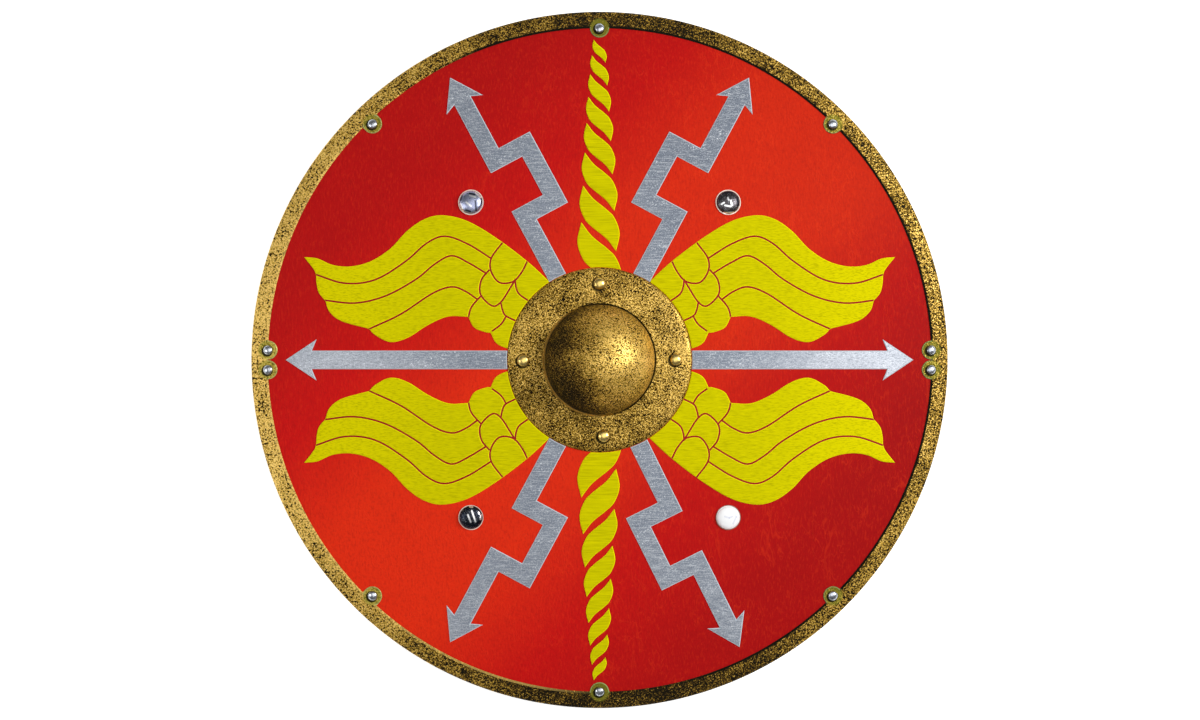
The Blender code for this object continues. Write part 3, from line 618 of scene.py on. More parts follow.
def bolt_axes(x_sign, y_sign, degrees):
    """Tip, direction towards the boss and sideways direction of a bolt."""
    tip_angle, axis_angle = radians(degrees), radians(degrees + BOLT_SKEW)
    tip = Vector((x_sign * sin(tip_angle), y_sign * cos(tip_angle))) * BOLT_TIP
    direction = Vector((-x_sign * sin(axis_angle), -y_sign * cos(axis_angle)))
    return tip, direction, Vector((-x_sign * cos(axis_angle), y_sign * sin(axis_angle)))


open_face = new_object("open_face", turn([
    (FLANGE + PLATE_GAP, -TOOL_REACH), (RIM_INNER - PLATE_GAP, -TOOL_REACH),
    (RIM_INNER - PLATE_GAP, TOOL_REACH), (FLANGE + PLATE_GAP, TOOL_REACH)], OPEN_FACE_SIDES))

# The steel is blue-grey, brushed from side to side, and brighter towards the shield's sides and bottom
steel = Finish("brushed_steel_sheet", Metallic=0.4)
grain = steel.noise(0.0009, 2.0, (50.0, 1.0))
grit = steel.noise(0.0011, 1.0)
cloud = steel.noise(0.012, 2.0, (2.5, 1.0))
spark = steel.noise(0.0018, 1.0).step(0.64, 0.72)
scratch = steel.noise(0.0012, 1.0, (7.0, 1.0), 0.9).step(0.68, 0.75)
x, y, z = steel.split(steel.here())
shine = abs(x).step(0.12, 0.31) * (x * 0.2 + 0.74) + y.step(-0.1, -0.3) * 0.2
colour = (shine + cloud * 0.3 - 0.18).mix(STEEL_GREY, STEEL_BRIGHT)
for share, paint in (
        (x.step(0.02, 0.1) * y.step(0.06, 0.16) * 0.9, STEEL_DARK),
        (grain.step(0.5, 0.28) * 0.65, STEEL_DARK), (grain.step(0.5, 0.74) * 0.4, STEEL_PALE),
        (grit.step(0.5, 0.32) * 0.35, STEEL_DARK), (grit.step(0.52, 0.7) * 0.35, STEEL_PALE),
        ((spark * 0.8 + scratch * 0.5) * cloud.step(0.45, 0.62), STEEL_PALE)):
    colour = share.mix(colour, paint)
steel.feed(Base_Color=colour, Roughness=grain * 0.2 + 0.48)
steel.relief(grain, 0.00008)
# Painted highlight: the bevelled upper edges take this pale blue-grey finish
steel_edge_highlight = Finish("filed_steel_edge", Roughness=0.6, Specular_IOR_Level=0.2)
steel_edge_highlight.feed(Base_Color=steel_edge_highlight.noise(0.002).mix(STEEL_EDGE_HIGHLIGHT, STEEL_BRIGHT))

half, near, far = STROKE / 2, BOLT_JOG_SIDE - STROKE, BOLT_JOG_SIDE
start, end = BOLT_JOG_START, BOLT_JOG_END
head = [(BARB_LENGTH, BARB_HALF_WIDTH), (NOTCH_LENGTH, half)]
arrow_side = head + [(ARROW_TIP - BOWL, half)]
bolt = [(0.0, 0.0)] + head + [
    (start, half), (start, far), (end, far), (end, half), (BOLT_REACH, half), (BOLT_REACH, -half),
    (end - STROKE, -half), (end - STROKE, near), (start + STROKE, near),
    (start + STROKE, -half)] + mirrored(head)
strokes = [("bolt_" + side_name, bolt, bolt_axes(*place)) for side_name, *place in BOLT_PLACES]
for side_name, x_sign in (("left", -1), ("right", 1)):
    axes = Vector((x_sign * ARROW_TIP, 0.0)), Vector((-x_sign, 0.0)), Vector((0.0, 1.0))
    strokes.append(("arrow_" + side_name, [(0.0, 0.0)] + arrow_side + mirrored(arrow_side), axes))
for node, outline, axes in strokes:
    fit_sheet("steel_", node, cut_sheet(place_outline(outline, *axes)), (steel, steel_edge_highlight))


# Spine: two rows of aslant leaves of sheet enamelled yellow, one up and one down from the boss,
# each growing towards it, so that together they look like a twisted rope.
SPINE_TIP_MARGIN = 0.0133
SPINE_LENGTH = RIM_INNER - SPINE_TIP_MARGIN - FLANGE
LEAF_COUNT = 8
LEAF_FIRST_PITCH = 0.0846
LEAF_PITCH_GROWTH = 0.0151
LEAF_FIRST_WIDTH = 0.032
LEAF_WIDTH_GROWTH = 0.00965
LEAF_FIRST_HEIGHT = 0.0511
LEAF_HEIGHT_GROWTH = 0.01533
LEAF_SIDE = ((-0.8, 1.0), (-0.33, 0.62), (0.33, 0.28), (0.72, 0.02), (0.97, -0.45), (0.8, -1.0))
CURVE_SPANS = 6
ENAMEL_YELLOW = (0.59, 0.545, 0.001)
ENAMEL_BRIGHT = (0.74, 0.665, 0.0012)
ENAMEL_DEEP = (0.44, 0.4, 0.001)
ENAMEL_EDGE_HIGHLIGHT = (0.84, 0.86, 0.0012)


def curve_through(points):
    """Places along a smooth curve through given points."""
    count = len(points) - 1
    places = []
    for k in range(count * CURVE_SPANS + 1):
        i = min(k // CURVE_SPANS, count - 1)
        t = k / CURVE_SPANS - i
        p1, p2 = Vector(points[i]), Vector(points[i + 1])
        p0 = Vector(points[i - 1]) if i > 0 else 2 * p1 - p2
        p3 = Vector(points[i + 2]) if i + 2 <= count else 2 * p2 - p1
        places.append(0.5 * (2 * p1 + (p2 - p0) * t + (2 * p0 - 5 * p1 + 4 * p2 - p3) * t ** 2
                             + (3 * p1 - p0 - 3 * p2 + p3) * t ** 3))
    return places


# The enamel lies over sheet brushed from side to side, and is brighter towards the ends of the wings
enamel = Finish("yellow_enamel", Specular_IOR_Level=0.0)
grain = enamel.noise(0.001, 3.0, (26.0, 1.0))
x, y, z = enamel.split(enamel.here())
colour = (abs(x).step(0.16, 0.32) * 0.7 + enamel.noise(0.03) * 0.2).mix(ENAMEL_YELLOW, ENAMEL_BRIGHT)
colour = (grain.step(0.54, 0.3) * 0.8).mix(colour, ENAMEL_DEEP)
colour = (grain.step(0.54, 0.75) * 0.7).mix(colour, ENAMEL_BRIGHT)
enamel.feed(Base_Color=colour, Roughness=grain * 0.2 + 0.4)
enamel.relief(grain, 0.0001)
# Painted highlight: the bevelled edges of leaves and wings and the lips of the wing grooves take this paler
# copy of the enamel
enamel_edge_highlight = Finish("yellow_enamel_edge", Roughness=0.5, Specular_IOR_Level=0.0)
enamel_edge_highlight.feed(Base_Color=enamel_edge_highlight.noise(0.003).mix(ENAMEL_EDGE_HIGHLIGHT, ENAMEL_BRIGHT))
leaf_side = curve_through(LEAF_SIDE)[:-1]
for row, y_sign in (("upper", 1), ("lower", -1)):
    place = RIM_INNER - SPINE_TIP_MARGIN - LEAF_FIRST_HEIGHT * SPINE_LENGTH
    for i in range(LEAF_COUNT):
        width = (LEAF_FIRST_WIDTH + LEAF_WIDTH_GROWTH * i) * SPINE_LENGTH
        height = (LEAF_FIRST_HEIGHT + LEAF_HEIGHT_GROWTH * i) * SPINE_LENGTH
        shape = leaf_side + [-corner for corner in leaf_side]
        outline = [Vector((corner.x * width, y_sign * (place + corner.y * height))) for corner in shape]
        leaf = cut_sheet(outline)
        fit_sheet("enamelled_", f"leaf_{row}_{i + 1}", leaf, (enamel, enamel_edge_highlight))
        place -= (LEAF_FIRST_PITCH + LEAF_PITCH_GROWTH * i) * SPINE_LENGTH


# Wings: four mirrored wings of the same enamelled sheet, drawn as shares of the span from the middle
# of the shield to a wing's tip. Feathers and scales are chased in as fine grooves with bevelled lips
# and filled with red.
WING_TIP_MARGIN = 0.022
WING_LINE_WIDTH = 0.0021
WING_LINE_DEPTH = 0.00065
LIP_WIDTH = 0.0007
LIP_DEPTH = 0.0004
WING_TOP_EDGE = (
    (1.0, 0.348), (0.954, 0.343), (0.902, 0.321), (0.84, 0.316), (0.771, 0.334), (0.705, 0.377),
    (0.65, 0.435), (0.591, 0.475), (0.529, 0.488), (0.445, 0.468), (0.348, 0.411), (0.242, 0.331),
    (0.164, 0.259),
)
WING_ROOT = ((0.2, 0.03), (0.12, 0.2))
WING_FEATHER_ENDS = (
    ((1.0, 0.348), (0.968, 0.308), (0.959, 0.288)),
    ((0.959, 0.288), (0.957, 0.258), (0.949, 0.227), (0.927, 0.2)),
    ((0.927, 0.2), (0.913, 0.163), (0.871, 0.131), (0.778, 0.105)),
    ((0.778, 0.105), (0.757, 0.084), (0.705, 0.06), (0.646, 0.075), (0.577, 0.118), (0.51, 0.146),
     (0.442, 0.145)),
    ((0.442, 0.145), (0.422, 0.109), (0.383, 0.093), (0.367, 0.092)),
    ((0.367, 0.092), (0.348, 0.057), (0.311, 0.039), (0.271, 0.034)),
)
WING_LINES = (
    ((0.966, 0.291), (0.861, 0.259), (0.757, 0.271), (0.654, 0.333), (0.584, 0.393), (0.522, 0.417),
     (0.445, 0.391), (0.367, 0.343)),
    ((0.933, 0.202), (0.826, 0.192), (0.722, 0.216), (0.619, 0.272), (0.557, 0.322), (0.5, 0.351),
     (0.445, 0.329), (0.383, 0.292)),
    ((0.783, 0.102), (0.671, 0.154), (0.567, 0.222), (0.5, 0.246), (0.452, 0.231), (0.411, 0.203)),
    ((0.324, 0.399), (0.364, 0.344), (0.366, 0.3), (0.338, 0.261), (0.293, 0.263), (0.263, 0.294),
     (0.24, 0.339)),
    ((0.284, 0.266), (0.281, 0.244), (0.27, 0.221), (0.235, 0.196)),
    ((0.371, 0.304), (0.398, 0.269), (0.401, 0.221), (0.362, 0.182), (0.332, 0.195), (0.301, 0.242),
     (0.283, 0.272)),
    ((0.332, 0.192), (0.327, 0.169), (0.315, 0.148), (0.27, 0.126)),
    ((0.399, 0.216), (0.432, 0.177), (0.443, 0.136)),
    ((0.362, 0.097), (0.332, 0.12), (0.313, 0.15)),
)
WING_SPAN = (RIM_INNER - WING_TIP_MARGIN) / hypot(*WING_TOP_EDGE[0])
LINE_RED = (0.26, 0.005, 0.004)


def groove_tool(places):
    """The wedge that chases one line: a sharp groove between two bevelled lips."""
    half, wide = WING_LINE_WIDTH / 2, WING_LINE_WIDTH / 2 + LIP_WIDTH * 1.5
    lip_top, clear = PLATE + LIP_DEPTH / 2, PLATE + 2 * WING_LINE_DEPTH
    section = ((wide, clear), (-wide, clear), (-wide, lip_top), (-half, PLATE - LIP_DEPTH),
               (0.0, PLATE - WING_LINE_DEPTH), (half, PLATE - LIP_DEPTH), (wide, lip_top))
    bm = bmesh.new()
    rows = []
    for i, place in enumerate(places):
        ahead = (places[min(i + 1, len(places) - 1)] - places[max(i - 1, 0)]).normalized()
        aside = Vector((-ahead.y, ahead.x))
        rows.append([bm.verts.new((*(place + aside * across), height)) for across, height in section])
    for k, face in enumerate(skin(bm, rows)):
        face.material_index = 0 if k % len(section) in (3, 4) else 1
    return bm


line_red = Finish("red_line_filling", Roughness=0.6, Specular_IOR_Level=0.2)
line_red.feed(Base_Color=(line_red.noise(0.004) * 0.5).mix(LINE_RED, CRIMSON))
shape = curve_through(WING_TOP_EDGE)[::-1][:-1]
for arc in WING_FEATHER_ENDS:
    shape += curve_through(arc)[:-1]
shape += [Vector(corner) for corner in (WING_FEATHER_ENDS[-1][-1], *WING_ROOT)]
gap_half = STROKE / 2 + PLATE_GAP
strip = [(end, far), (BOLT_REACH, far), (BOLT_REACH, -gap_half), (end, -gap_half)]
for side_name, x_sign, y_sign, degrees in BOLT_PLACES:
    flip = Vector((x_sign * WING_SPAN, y_sign * WING_SPAN))
    outline = place_outline(strip, *bolt_axes(x_sign, y_sign, degrees))
    bolt_gap = new_object("bolt_gap", prism(outline, -TOOL_REACH, TOOL_REACH))
    blank = new_object("wing_sheet", cut_sheet([corner * flip for corner in shape], bolt_gap))
    tools = bpy.data.collections.new("wing_groove_tools")
    for line in WING_LINES:
        tool = new_object("groove_tool", groove_tool([corner * flip for corner in curve_through(line)]))
        tools.objects.link(tool)
    for item, finish in ((blank, enamel), *((tool, line_red) for tool in tools.objects)):
        item.data.materials.append(finish.material)
        item.data.materials.append(enamel_edge_highlight.material)
    cut(blank, "DIFFERENCE", tools)
    bm = bmesh.new()
    bm.from_mesh(applied(blank))
    fit_sheet("enamelled_", "wing_" + side_name, bm, (enamel, enamel_edge_highlight, line_red))
    for tool in (*tools.objects, bolt_gap):
        bpy.data.objects.remove(tool)
    bpy.data.collections.remove(tools)
bpy.data.objects.remove(open_face)


# Boss: a bronze bowl over the hand and its broad flange, raised from one sheet.
# A fine ring is incised where the bowl rises, and the flange's edge is rolled over.
# It is pitted like the rim but finer, with two scratches on the bowl. Its bowl is painted darker on the
# left and towards its top and bottom and brighter on the right, as painted shade and light; the whole boss
# is painted brighter to the right and darker towards the top and bottom, its ring carries painted shade
# and a painted highlight, and painted shadows lie beside its rivets.
FLANGE_THICKNESS = 0.003
FLANGE_STEPS = 8
FLANGE_ROLL_WIDTH = 0.0065
FLANGE_ROLL_DROP = 0.0026
BOSS_SHEET = 0.0016
BOWL_STEPS = 40
BOSS_SIDES = 192
RING_GROOVE_WIDTH = 0.0016
RING_GROOVE_DEPTH = 0.0012
BOSS_RIVET_REACH = FLANGE - 0.0182
BOSS_RIVET_PLACES = (("top", 90.0), ("left", 180.5), ("bottom", 273.2), ("right", 0.2))
BOSS_SCRATCHES = (((0.0247, 0.054), (0.0293, 0.039)), ((-0.0086, -0.0161), (-0.0121, -0.038)))


def bowl_arc(radius, low, high):
    """Section of a bowl, from its top down to its edge."""
    swings = [pi / 2 * (1 - i / BOWL_STEPS) for i in range(1, BOWL_STEPS + 1)]
    return [(0.0, high)] + [(radius * cos(swing), low + (high - low) * sin(swing)) for swing in swings]


def stroke(finish, x, y, start, end, width):
    """A mark from one place to another, seen from above."""
    run = Vector(end) - Vector(start)
    reach = finish.vector("SUBTRACT", finish.join(x, y), (*start, 0.0))
    share = finish.vector("DOT_PRODUCT", reach, (*(run / run.length_squared), 0.0), 1)
    share = finish.add("ShaderNodeClamp", (), {"Value": share})
    foot = finish.vector("MULTIPLY", share, (*run, 0.0))
    return finish.vector("DISTANCE", reach, foot, 1).step(width * 0.75, width * 0.35)


boss_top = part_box("boss")[1].z
flange_level = FIELD_LEVEL + FLANGE_THICKNESS
bowl_base = back_level(BOWL) + flange_level
profile = bowl_arc(BOWL, bowl_base, boss_top)
profile.append((BOWL + RING_GROOVE_WIDTH / 2, bowl_base - RING_GROOVE_DEPTH))
flat_start = BOWL + RING_GROOVE_WIDTH
flat_end = FLANGE - FLANGE_ROLL_WIDTH
for i in range(FLANGE_STEPS + 1):
    radius = flat_start + (flat_end - flat_start) * i / FLANGE_STEPS
    profile.append((radius, back_level(radius) + flange_level))
for i in range(1, FLANGE_STEPS + 1):
    swing = pi / 2 * i / FLANGE_STEPS
    radius = flat_end + FLANGE_ROLL_WIDTH * sin(swing)
    profile.append((radius, back_level(radius) + flange_level - FLANGE_ROLL_DROP * (1 - cos(swing))))
profile.append((FLANGE, back_level(FLANGE) + FIELD_LEVEL))
inner_radius = BOWL - BOSS_SHEET
profile += reversed(bowl_arc(inner_radius, back_level(inner_radius) + FIELD_LEVEL, boss_top - BOSS_SHEET))
boss_places = {side: polar(BOSS_RIVET_REACH, radians(degrees)) for side, degrees in BOSS_RIVET_PLACES}
boss_bronze, x, y, radius, highlight_side, tone = cast_bronze("pitted_boss_bronze", 0.9, 0.0012)
ring = abs(radius - BOWL - RING_GROOVE_WIDTH / 2).step(0.0014, 0.0006)
in_bowl = radius.step(BOWL + 0.001, BOWL - 0.001)
# Painted shade and light: the bowl darker on its left and towards top and bottom, brighter on its right; the
# whole boss brighter to the right and darker towards the top and more the bottom
painted_bowl_shade = in_bowl * ((x + y * 0.2).step(-0.055, 0.022) * 0.43 - 0.27 - abs(y) * 3.0)
colour = cast_colour(boss_bronze, tone + painted_bowl_shade + x * 0.4 + y * 0.4 - abs(y) * 0.9)
# Painted shadow beside the boss rivets, shifted to the lower left
near = nearest(boss_bronze, x + SHADOW_SHIFT, y + SHADOW_SHIFT, boss_places.values())
scratches = [(stroke(boss_bronze, x, y, *places, 0.0008) * 0.6, SHADE_AND_SCRATCH_BLACK) for places in BOSS_SCRATCHES]
# Painted shade in the incised ring at the upper right and a painted highlight at the lower left, then the
# scratches
for share, paint in (
        (ring * highlight_side.step(0.2, -0.2) * 0.9, SHADE_AND_SCRATCH_BLACK),
        (ring * highlight_side.step(0.2, 0.5) * 0.6, BRONZE_BRIGHT),
        *scratches, (near.step(0.0088, 0.0075) * 0.9, SHADE_AND_SCRATCH_BLACK)):
    colour = share.mix(colour, paint)
boss_bronze.feed(Base_Color=colour)
fit_piece("bronze_boss", turn(profile, BOSS_SIDES), ["boss"], [boss_bronze])


# Hand grip: a bar of oiled wood across the hand hole, flat where the upper and the lower boss rivet
# hold it to the board's back, and rounded and thicker in the middle for the hand.
GRIP_END = 0.017
GRIP_SEAT_START = HAND_HOLE - 0.006
GRIP_HANDLE_REACH = HAND_HOLE * 0.75
GRIP_RISE = 0.004
GRIP_STATIONS = 56
GRIP_SIDES = 28
# Half width, thickness and squareness
GRIP_SEAT = (0.015, 0.011, 7.0)
GRIP_HANDLE = (0.0125, 0.025, 2.6)


def handle_share(y):
    """From 0 at the seats of the grip to 1 along its handle, without a corner at either end."""
    value = min(max((GRIP_SEAT_START - abs(y)) / (GRIP_SEAT_START - GRIP_HANDLE_REACH), 0.0), 1.0)
    return value * value * (3 - 2 * value)


def rounded(half, share, squareness):
    """Coordinate on a rounded rectangle, rounder as its squareness falls."""
    return copysign(half * abs(share) ** (2 / squareness), share)


def bar(middle, reach, stations, sides, size, top):
    """A bar along Y, with the size of its section by Y and the height of its upper side by X and Y."""
    bm = bmesh.new()
    rows = []
    for k in range(stations + 1):
        y = reach * (2 * k / stations - 1)
        half_width, thickness, squareness = size(y)
        row = []
        for swing in (2 * pi * (i + 0.5) / sides for i in range(sides)):
            x = middle + rounded(half_width, cos(swing), squareness)
            up = rounded(thickness / 2, sin(swing), squareness)
            row.append(bm.verts.new((x, y, top(x, y) - thickness / 2 + up)))
        rows.append(row)
    skin(bm, rows)
    return bm


def grip_size(y):
    """Half width, thickness and squareness of the grip."""
    return [seat + (handle - seat) * handle_share(y) for seat, handle in zip(GRIP_SEAT, GRIP_HANDLE)]


def grip_top(x, y):
    """Height of the grip's upper side, level across it."""
    seat_top = back_level(hypot(GRIP_SEAT[0], y)) - FIT
    return seat_top + (back_level(HAND_HOLE) + GRIP_RISE - seat_top) * handle_share(y)


bm = bar(0.0, BOSS_RIVET_REACH + GRIP_END, GRIP_STATIONS, GRIP_SIDES, grip_size, grip_top)
fit_piece("wooden_hand_grip", bm, ["hand_grip"], [oiled_wood("oiled_grip_wood")])


# Arm straps: two bands of brown leather on the back, flat on the board at their riveted ends
# and bowed out between them for the forearm, with a row of waxed stitches along each edge.
STRAP_X = 0.147
STRAP_Y = 0.18
STRAP_WIDTH = 0.03
STRAP_THICKNESS = 0.0032
STRAP_REACH = STRAP_Y + 0.02
STRAP_FREE = STRAP_Y - 0.018
STRAP_FLOOR_GAP = 0.0085
STRAP_BOW = back_level(STRAP_X + STRAP_WIDTH / 2) - FIT - STRAP_THICKNESS - STRAP_FLOOR_GAP
STRAP_BOW_SHAPE = 1.5
STRAP_STATIONS = 90
STRAP_SIDES = 20
STRAP_SQUARENESS = 5.0
STITCH_MARGIN = 0.0035
STITCH_SINK = 0.0001
STITCH_SIZE = {"Pitch": 0.0062, "Length": 0.0042, "Width": 0.0009}
STRAP_BROWN = (0.08, 0.03, 0.012)
STRAP_TAN = (0.21, 0.095, 0.04)
THREAD = (0.52, 0.43, 0.28)


def strap_top(x, y):
    """Height of a strap's upper side."""
    bulge = sin(pi / 2 * max(1 - (y / STRAP_FREE) ** 2, 0.0))
    return back_level(hypot(x, y)) - FIT - STRAP_BOW * bulge ** STRAP_BOW_SHAPE


def new_tree(name, **kinds):
    """A tree of geometry nodes and its inputs, given with the kind of each."""
    nodes = Nodes(bpy.data.node_groups.new(name, "GeometryNodeTree"))
    kinds = {"Geometry": "Geometry", **kinds, "Finish": "Material"}
    for socket, kind in kinds.items():
        nodes.tree.interface.new_socket(socket, in_out="INPUT", socket_type="NodeSocket" + kind)
    nodes.tree.interface.new_socket("Geometry", in_out="OUTPUT", socket_type="NodeSocketGeometry")
    outputs = nodes.tree.nodes.new("NodeGroupInput").outputs
    return nodes, {socket.name: Wire(nodes, socket) for socket in outputs if socket.name}


def scatter(nodes, points, instance, turned, size, finish):
    """End a tree: an instance at each point, all made real and given their finish."""
    result = nodes.add("GeometryNodeInstanceOnPoints", (), {
        "Points": points, "Instance": instance, "Rotation": turned, "Scale": size})
    result = nodes.add("GeometryNodeRealizeInstances", (), {"Geometry": result})
    result = nodes.add("GeometryNodeSetMaterial", (), {"Geometry": result, "Material": finish})
    nodes.put(nodes.tree.nodes.new("NodeGroupOutput").inputs[0], result)
    return nodes.tree


def stitch_tree():
    """Stitches set at a pitch along the edges they are given."""
    nodes, given = new_tree("stitch_rows", Pitch="Float", Length="Float", Width="Float")
    row = nodes.add("GeometryNodeMeshToCurve", (), {"Mesh": given["Geometry"]})
    places = nodes.add("GeometryNodeResampleCurve", {"mode": "LENGTH"}, {
        "Curve": row, "Length": given["Pitch"]})
    stitch = nodes.add("GeometryNodeMeshUVSphere", (), {"Segments": 8, "Rings": 6, "Radius": 0.5})
    size = nodes.join(given["Length"], given["Width"], given["Width"])
    stitch = nodes.add("GeometryNodeTransform", (), {"Geometry": stitch, "Scale": size})
    along = nodes.add("GeometryNodeInputTangent")
    lie = nodes.add("FunctionNodeAlignRotationToVector", {"axis": "X"}, {"Vector": along})
    return scatter(nodes, places, stitch, lie, (1.0, 1.0, 1.0), given["Finish"])


def run_tree(name, bm, tree, inputs):
    """Feed a shape through a tree of geometry nodes and keep the result as a plain mesh."""
    item = new_object(name, bm)
    modifier = item.modifiers.new("tree", "NODES")
    modifier.node_group = tree
    for socket in tree.interface.items_tree:
        if socket.in_out == "INPUT" and socket.name in inputs:
            modifier[socket.identifier] = inputs[socket.name]
    return applied(item)


strap_leather = Finish("brown_strap_leather", Specular_IOR_Level=0.35)
pebble = strap_leather.noise(0.0011, 3.0)
tone = strap_leather.noise(0.018, 3.0) * 0.7 + pebble * 0.4 - 0.05
strap_leather.feed(Base_Color=tone.ramp((0.3, STRAP_BROWN), (0.75, STRAP_TAN)), Roughness=pebble * 0.3 + 0.45)
strap_leather.relief(pebble, 0.0003)
thread = Finish("waxed_thread", Roughness=0.6, Specular_IOR_Level=0.3)
thread.feed(Base_Color=(thread.noise(0.003) * 0.6).mix(THREAD, STRAP_TAN))
stitches = stitch_tree()
for side_name, x_sign in (("left", -1), ("right", 1)):
    bm = bar(x_sign * STRAP_X, STRAP_REACH, STRAP_STATIONS, STRAP_SIDES,
                  lambda y: (STRAP_WIDTH / 2, STRAP_THICKNESS, STRAP_SQUARENESS), strap_top)
    node = "arm_strap_" + side_name
    fit_piece("leather_" + node, bm, [node], [strap_leather])
    bm = bmesh.new()
    for side in (-1, 1):
        x = x_sign * STRAP_X + side * (STRAP_WIDTH / 2 - STITCH_MARGIN)
        row = []
        for k in range(STRAP_STATIONS + 1):
            y = (STRAP_REACH - STITCH_MARGIN) * (2 * k / STRAP_STATIONS - 1)
            row.append(bm.verts.new((x, y, strap_top(x, y) - STRAP_THICKNESS - STITCH_SINK)))
        for pair in zip(row, row[1:]):
            bm.edges.new(pair)
    mesh = run_tree("stitch_rows", bm, stitches, {**STITCH_SIZE, "Finish": thread.material})
    fit_piece("strap_stitches_" + side_name, mesh, (), sharp_edge=180.0)


# Rivets: domed heads, a shank through every layer, and a tail clenched on the back.
# Small steel ones hold the binding, brass ones the boss, and four broad brimmed ones the arm straps.
# Head radius, head rise, shank radius, tail radius and tail rise of each kind.
RIM_RIVET = (0.0057, 0.0032, 0.0019, 0.004, 0.0016)
BOSS_RIVET = (0.007, 0.0042, 0.0024, 0.005, 0.002)
STRAP_RIVET = (0.0137, 0.0062, 0.003, 0.008, 0.0025)
BRIM_WIDTH = 0.0011
BRIM_THICKNESS = 0.0008
TAIL_GAP = 0.0005
RIVET_MEASURES = ("Head_radius", "Head_rise", "Shank_radius", "Tail_radius", "Tail_rise")
OTHER_MEASURES = ("Shank_length", "Brim", "Brim_thickness", "Dish_radius")
RIVET_SEED = 7
RIVET_SIDES = 40
DOME_RINGS = 24
LEAST_SIZE = 0.97
REFLECTION_STREAK_WIDTH = 0.0018
RIVET_STEEL = (0.62, 0.66, 0.72)
RIVET_STEEL_DARK = (0.06, 0.065, 0.08)
BRASS = (0.9, 0.65, 0.2)
BRASS_DARK = (0.4, 0.24, 0.06)
RIVET_BRIM_PALE = (0.8, 0.66, 0.56)
RIVET_BRIM_BROWN = (0.28, 0.15, 0.11)
LAVENDER = (0.4, 0.43, 0.6)
GREY = (0.075, 0.066, 0.07)
BLACK = (0.008, 0.012, 0.022)
WHITE = (0.97, 0.975, 0.98)
# Painted reflections on the heads, bright, dark and faint: paint, strength, then for each head by its side
# and row where the streaks start and end, in mm from its middle
PAINTED_RIVET_REFLECTIONS = (
    (WHITE, 0.95, -1, 1, (
        (-1.2, 7.7, 5.3, 6.1), (-5.3, 0.0, 0.4, -4.5), (5.6, 10.4, 10.8, 5.6), (-12.0, -1.6, -9.0, -9.0))),
    (WHITE, 0.95, 1, 1, (
        (-3.6, -3.6, 2.8, -4.8), (2.8, 2.0, 4.0, -3.2), (-0.4, 5.2, 0.4, 2.8), (-7.7, -2.0, -4.8, -0.4),
        (-5.0, -12.0, 6.0, -11.5))),
    (WHITE, 0.95, -1, -1, (
        (1.0, 8.0, 5.4, -4.8), (-3.4, 3.2, -0.2, -5.2), (-1.0, 12.2, 1.8, 11.8), (11.7, 2.8, 11.0, -2.0),
        (9.1, 6.0, 9.5, 4.8))),
    (BLACK, 0.85, -1, 1, (
        (-12.0, 2.4, -10.0, 7.5), (12.0, 4.0, 12.0, -3.0), (-1.6, 10.3, 4.4, 8.9), (5.3, 1.2, 6.0, -9.2),
        (-5.6, -8.9, -0.8, -10.4))),
    (BLACK, 0.85, 1, 1, ((10.5, 6.0, 11.5, -4.0), (-7.0, 11.0, 5.0, 11.5))),
    (LAVENDER, 0.35, 1, -1, (
        (-4.0, 1.2, 1.2, -0.4), (1.2, -0.4, 4.8, 1.2), (6.9, 5.6, 9.1, 0.8), (9.1, 0.8, 5.6, -6.9))),
)


def rivet_tree(with_brim):
    """Rivets square to the dish at the points they are given, no two quite the same size."""
    nodes, given = new_tree("rivets", **dict.fromkeys(RIVET_MEASURES + OTHER_MEASURES, "Float"), Seed="Int")

    def scaled(geometry, radius, height, low=0.0, turned=0.0):
        return nodes.add("GeometryNodeTransform", (), {
            "Geometry": geometry, "Scale": nodes.join(radius, radius, height),
            "Translation": nodes.join(0.0, 0.0, low), "Rotation": (turned, 0.0, 0.0)})

    ball = nodes.add("GeometryNodeMeshUVSphere", (), {
        "Segments": RIVET_SIDES, "Rings": DOME_RINGS, "Radius": 1.0})
    x, y, z = nodes.split(nodes.add("GeometryNodeInputPosition"))
    dome_place = nodes.join(x, y, z.work("MAXIMUM", z, 0.0))
    dome = nodes.add("GeometryNodeSetPosition", (), {"Geometry": ball, "Position": dome_place})
    rod = nodes.add("GeometryNodeMeshCylinder", (), {"Vertices": RIVET_SIDES, "Radius": 1.0, "Depth": 1.0})
    length, seat = given["Shank_length"], given["Brim_thickness"]
    bodies = [
        scaled(dome, given["Head_radius"], given["Head_rise"], seat),
        scaled(rod, given["Shank_radius"], length + seat, (seat - length) * 0.5),
        scaled(dome, given["Tail_radius"], given["Tail_rise"], length * -1.0, pi),
    ]
    if with_brim:
        bodies.append(scaled(rod, given["Head_radius"] + given["Brim"], seat, seat * 0.5))
    rivet = nodes.add("GeometryNodeJoinGeometry")
    for body in reversed(bodies):
        nodes.put(rivet.socket.node.inputs[0], body)
    normal = nodes.join(x, y, (given["Dish_radius"] ** 2.0 - x * x - y * y) ** 0.5)
    stand = nodes.add("FunctionNodeAlignRotationToVector", {"axis": "Z"}, {"Vector": normal})
    size = nodes.add("FunctionNodeRandomValue", {"data_type": "FLOAT"}, {
        2: LEAST_SIZE, 3: 1.0, "Seed": given["Seed"]}, 1)
    return scatter(nodes, given["Geometry"], rivet, stand, size, given["Finish"])


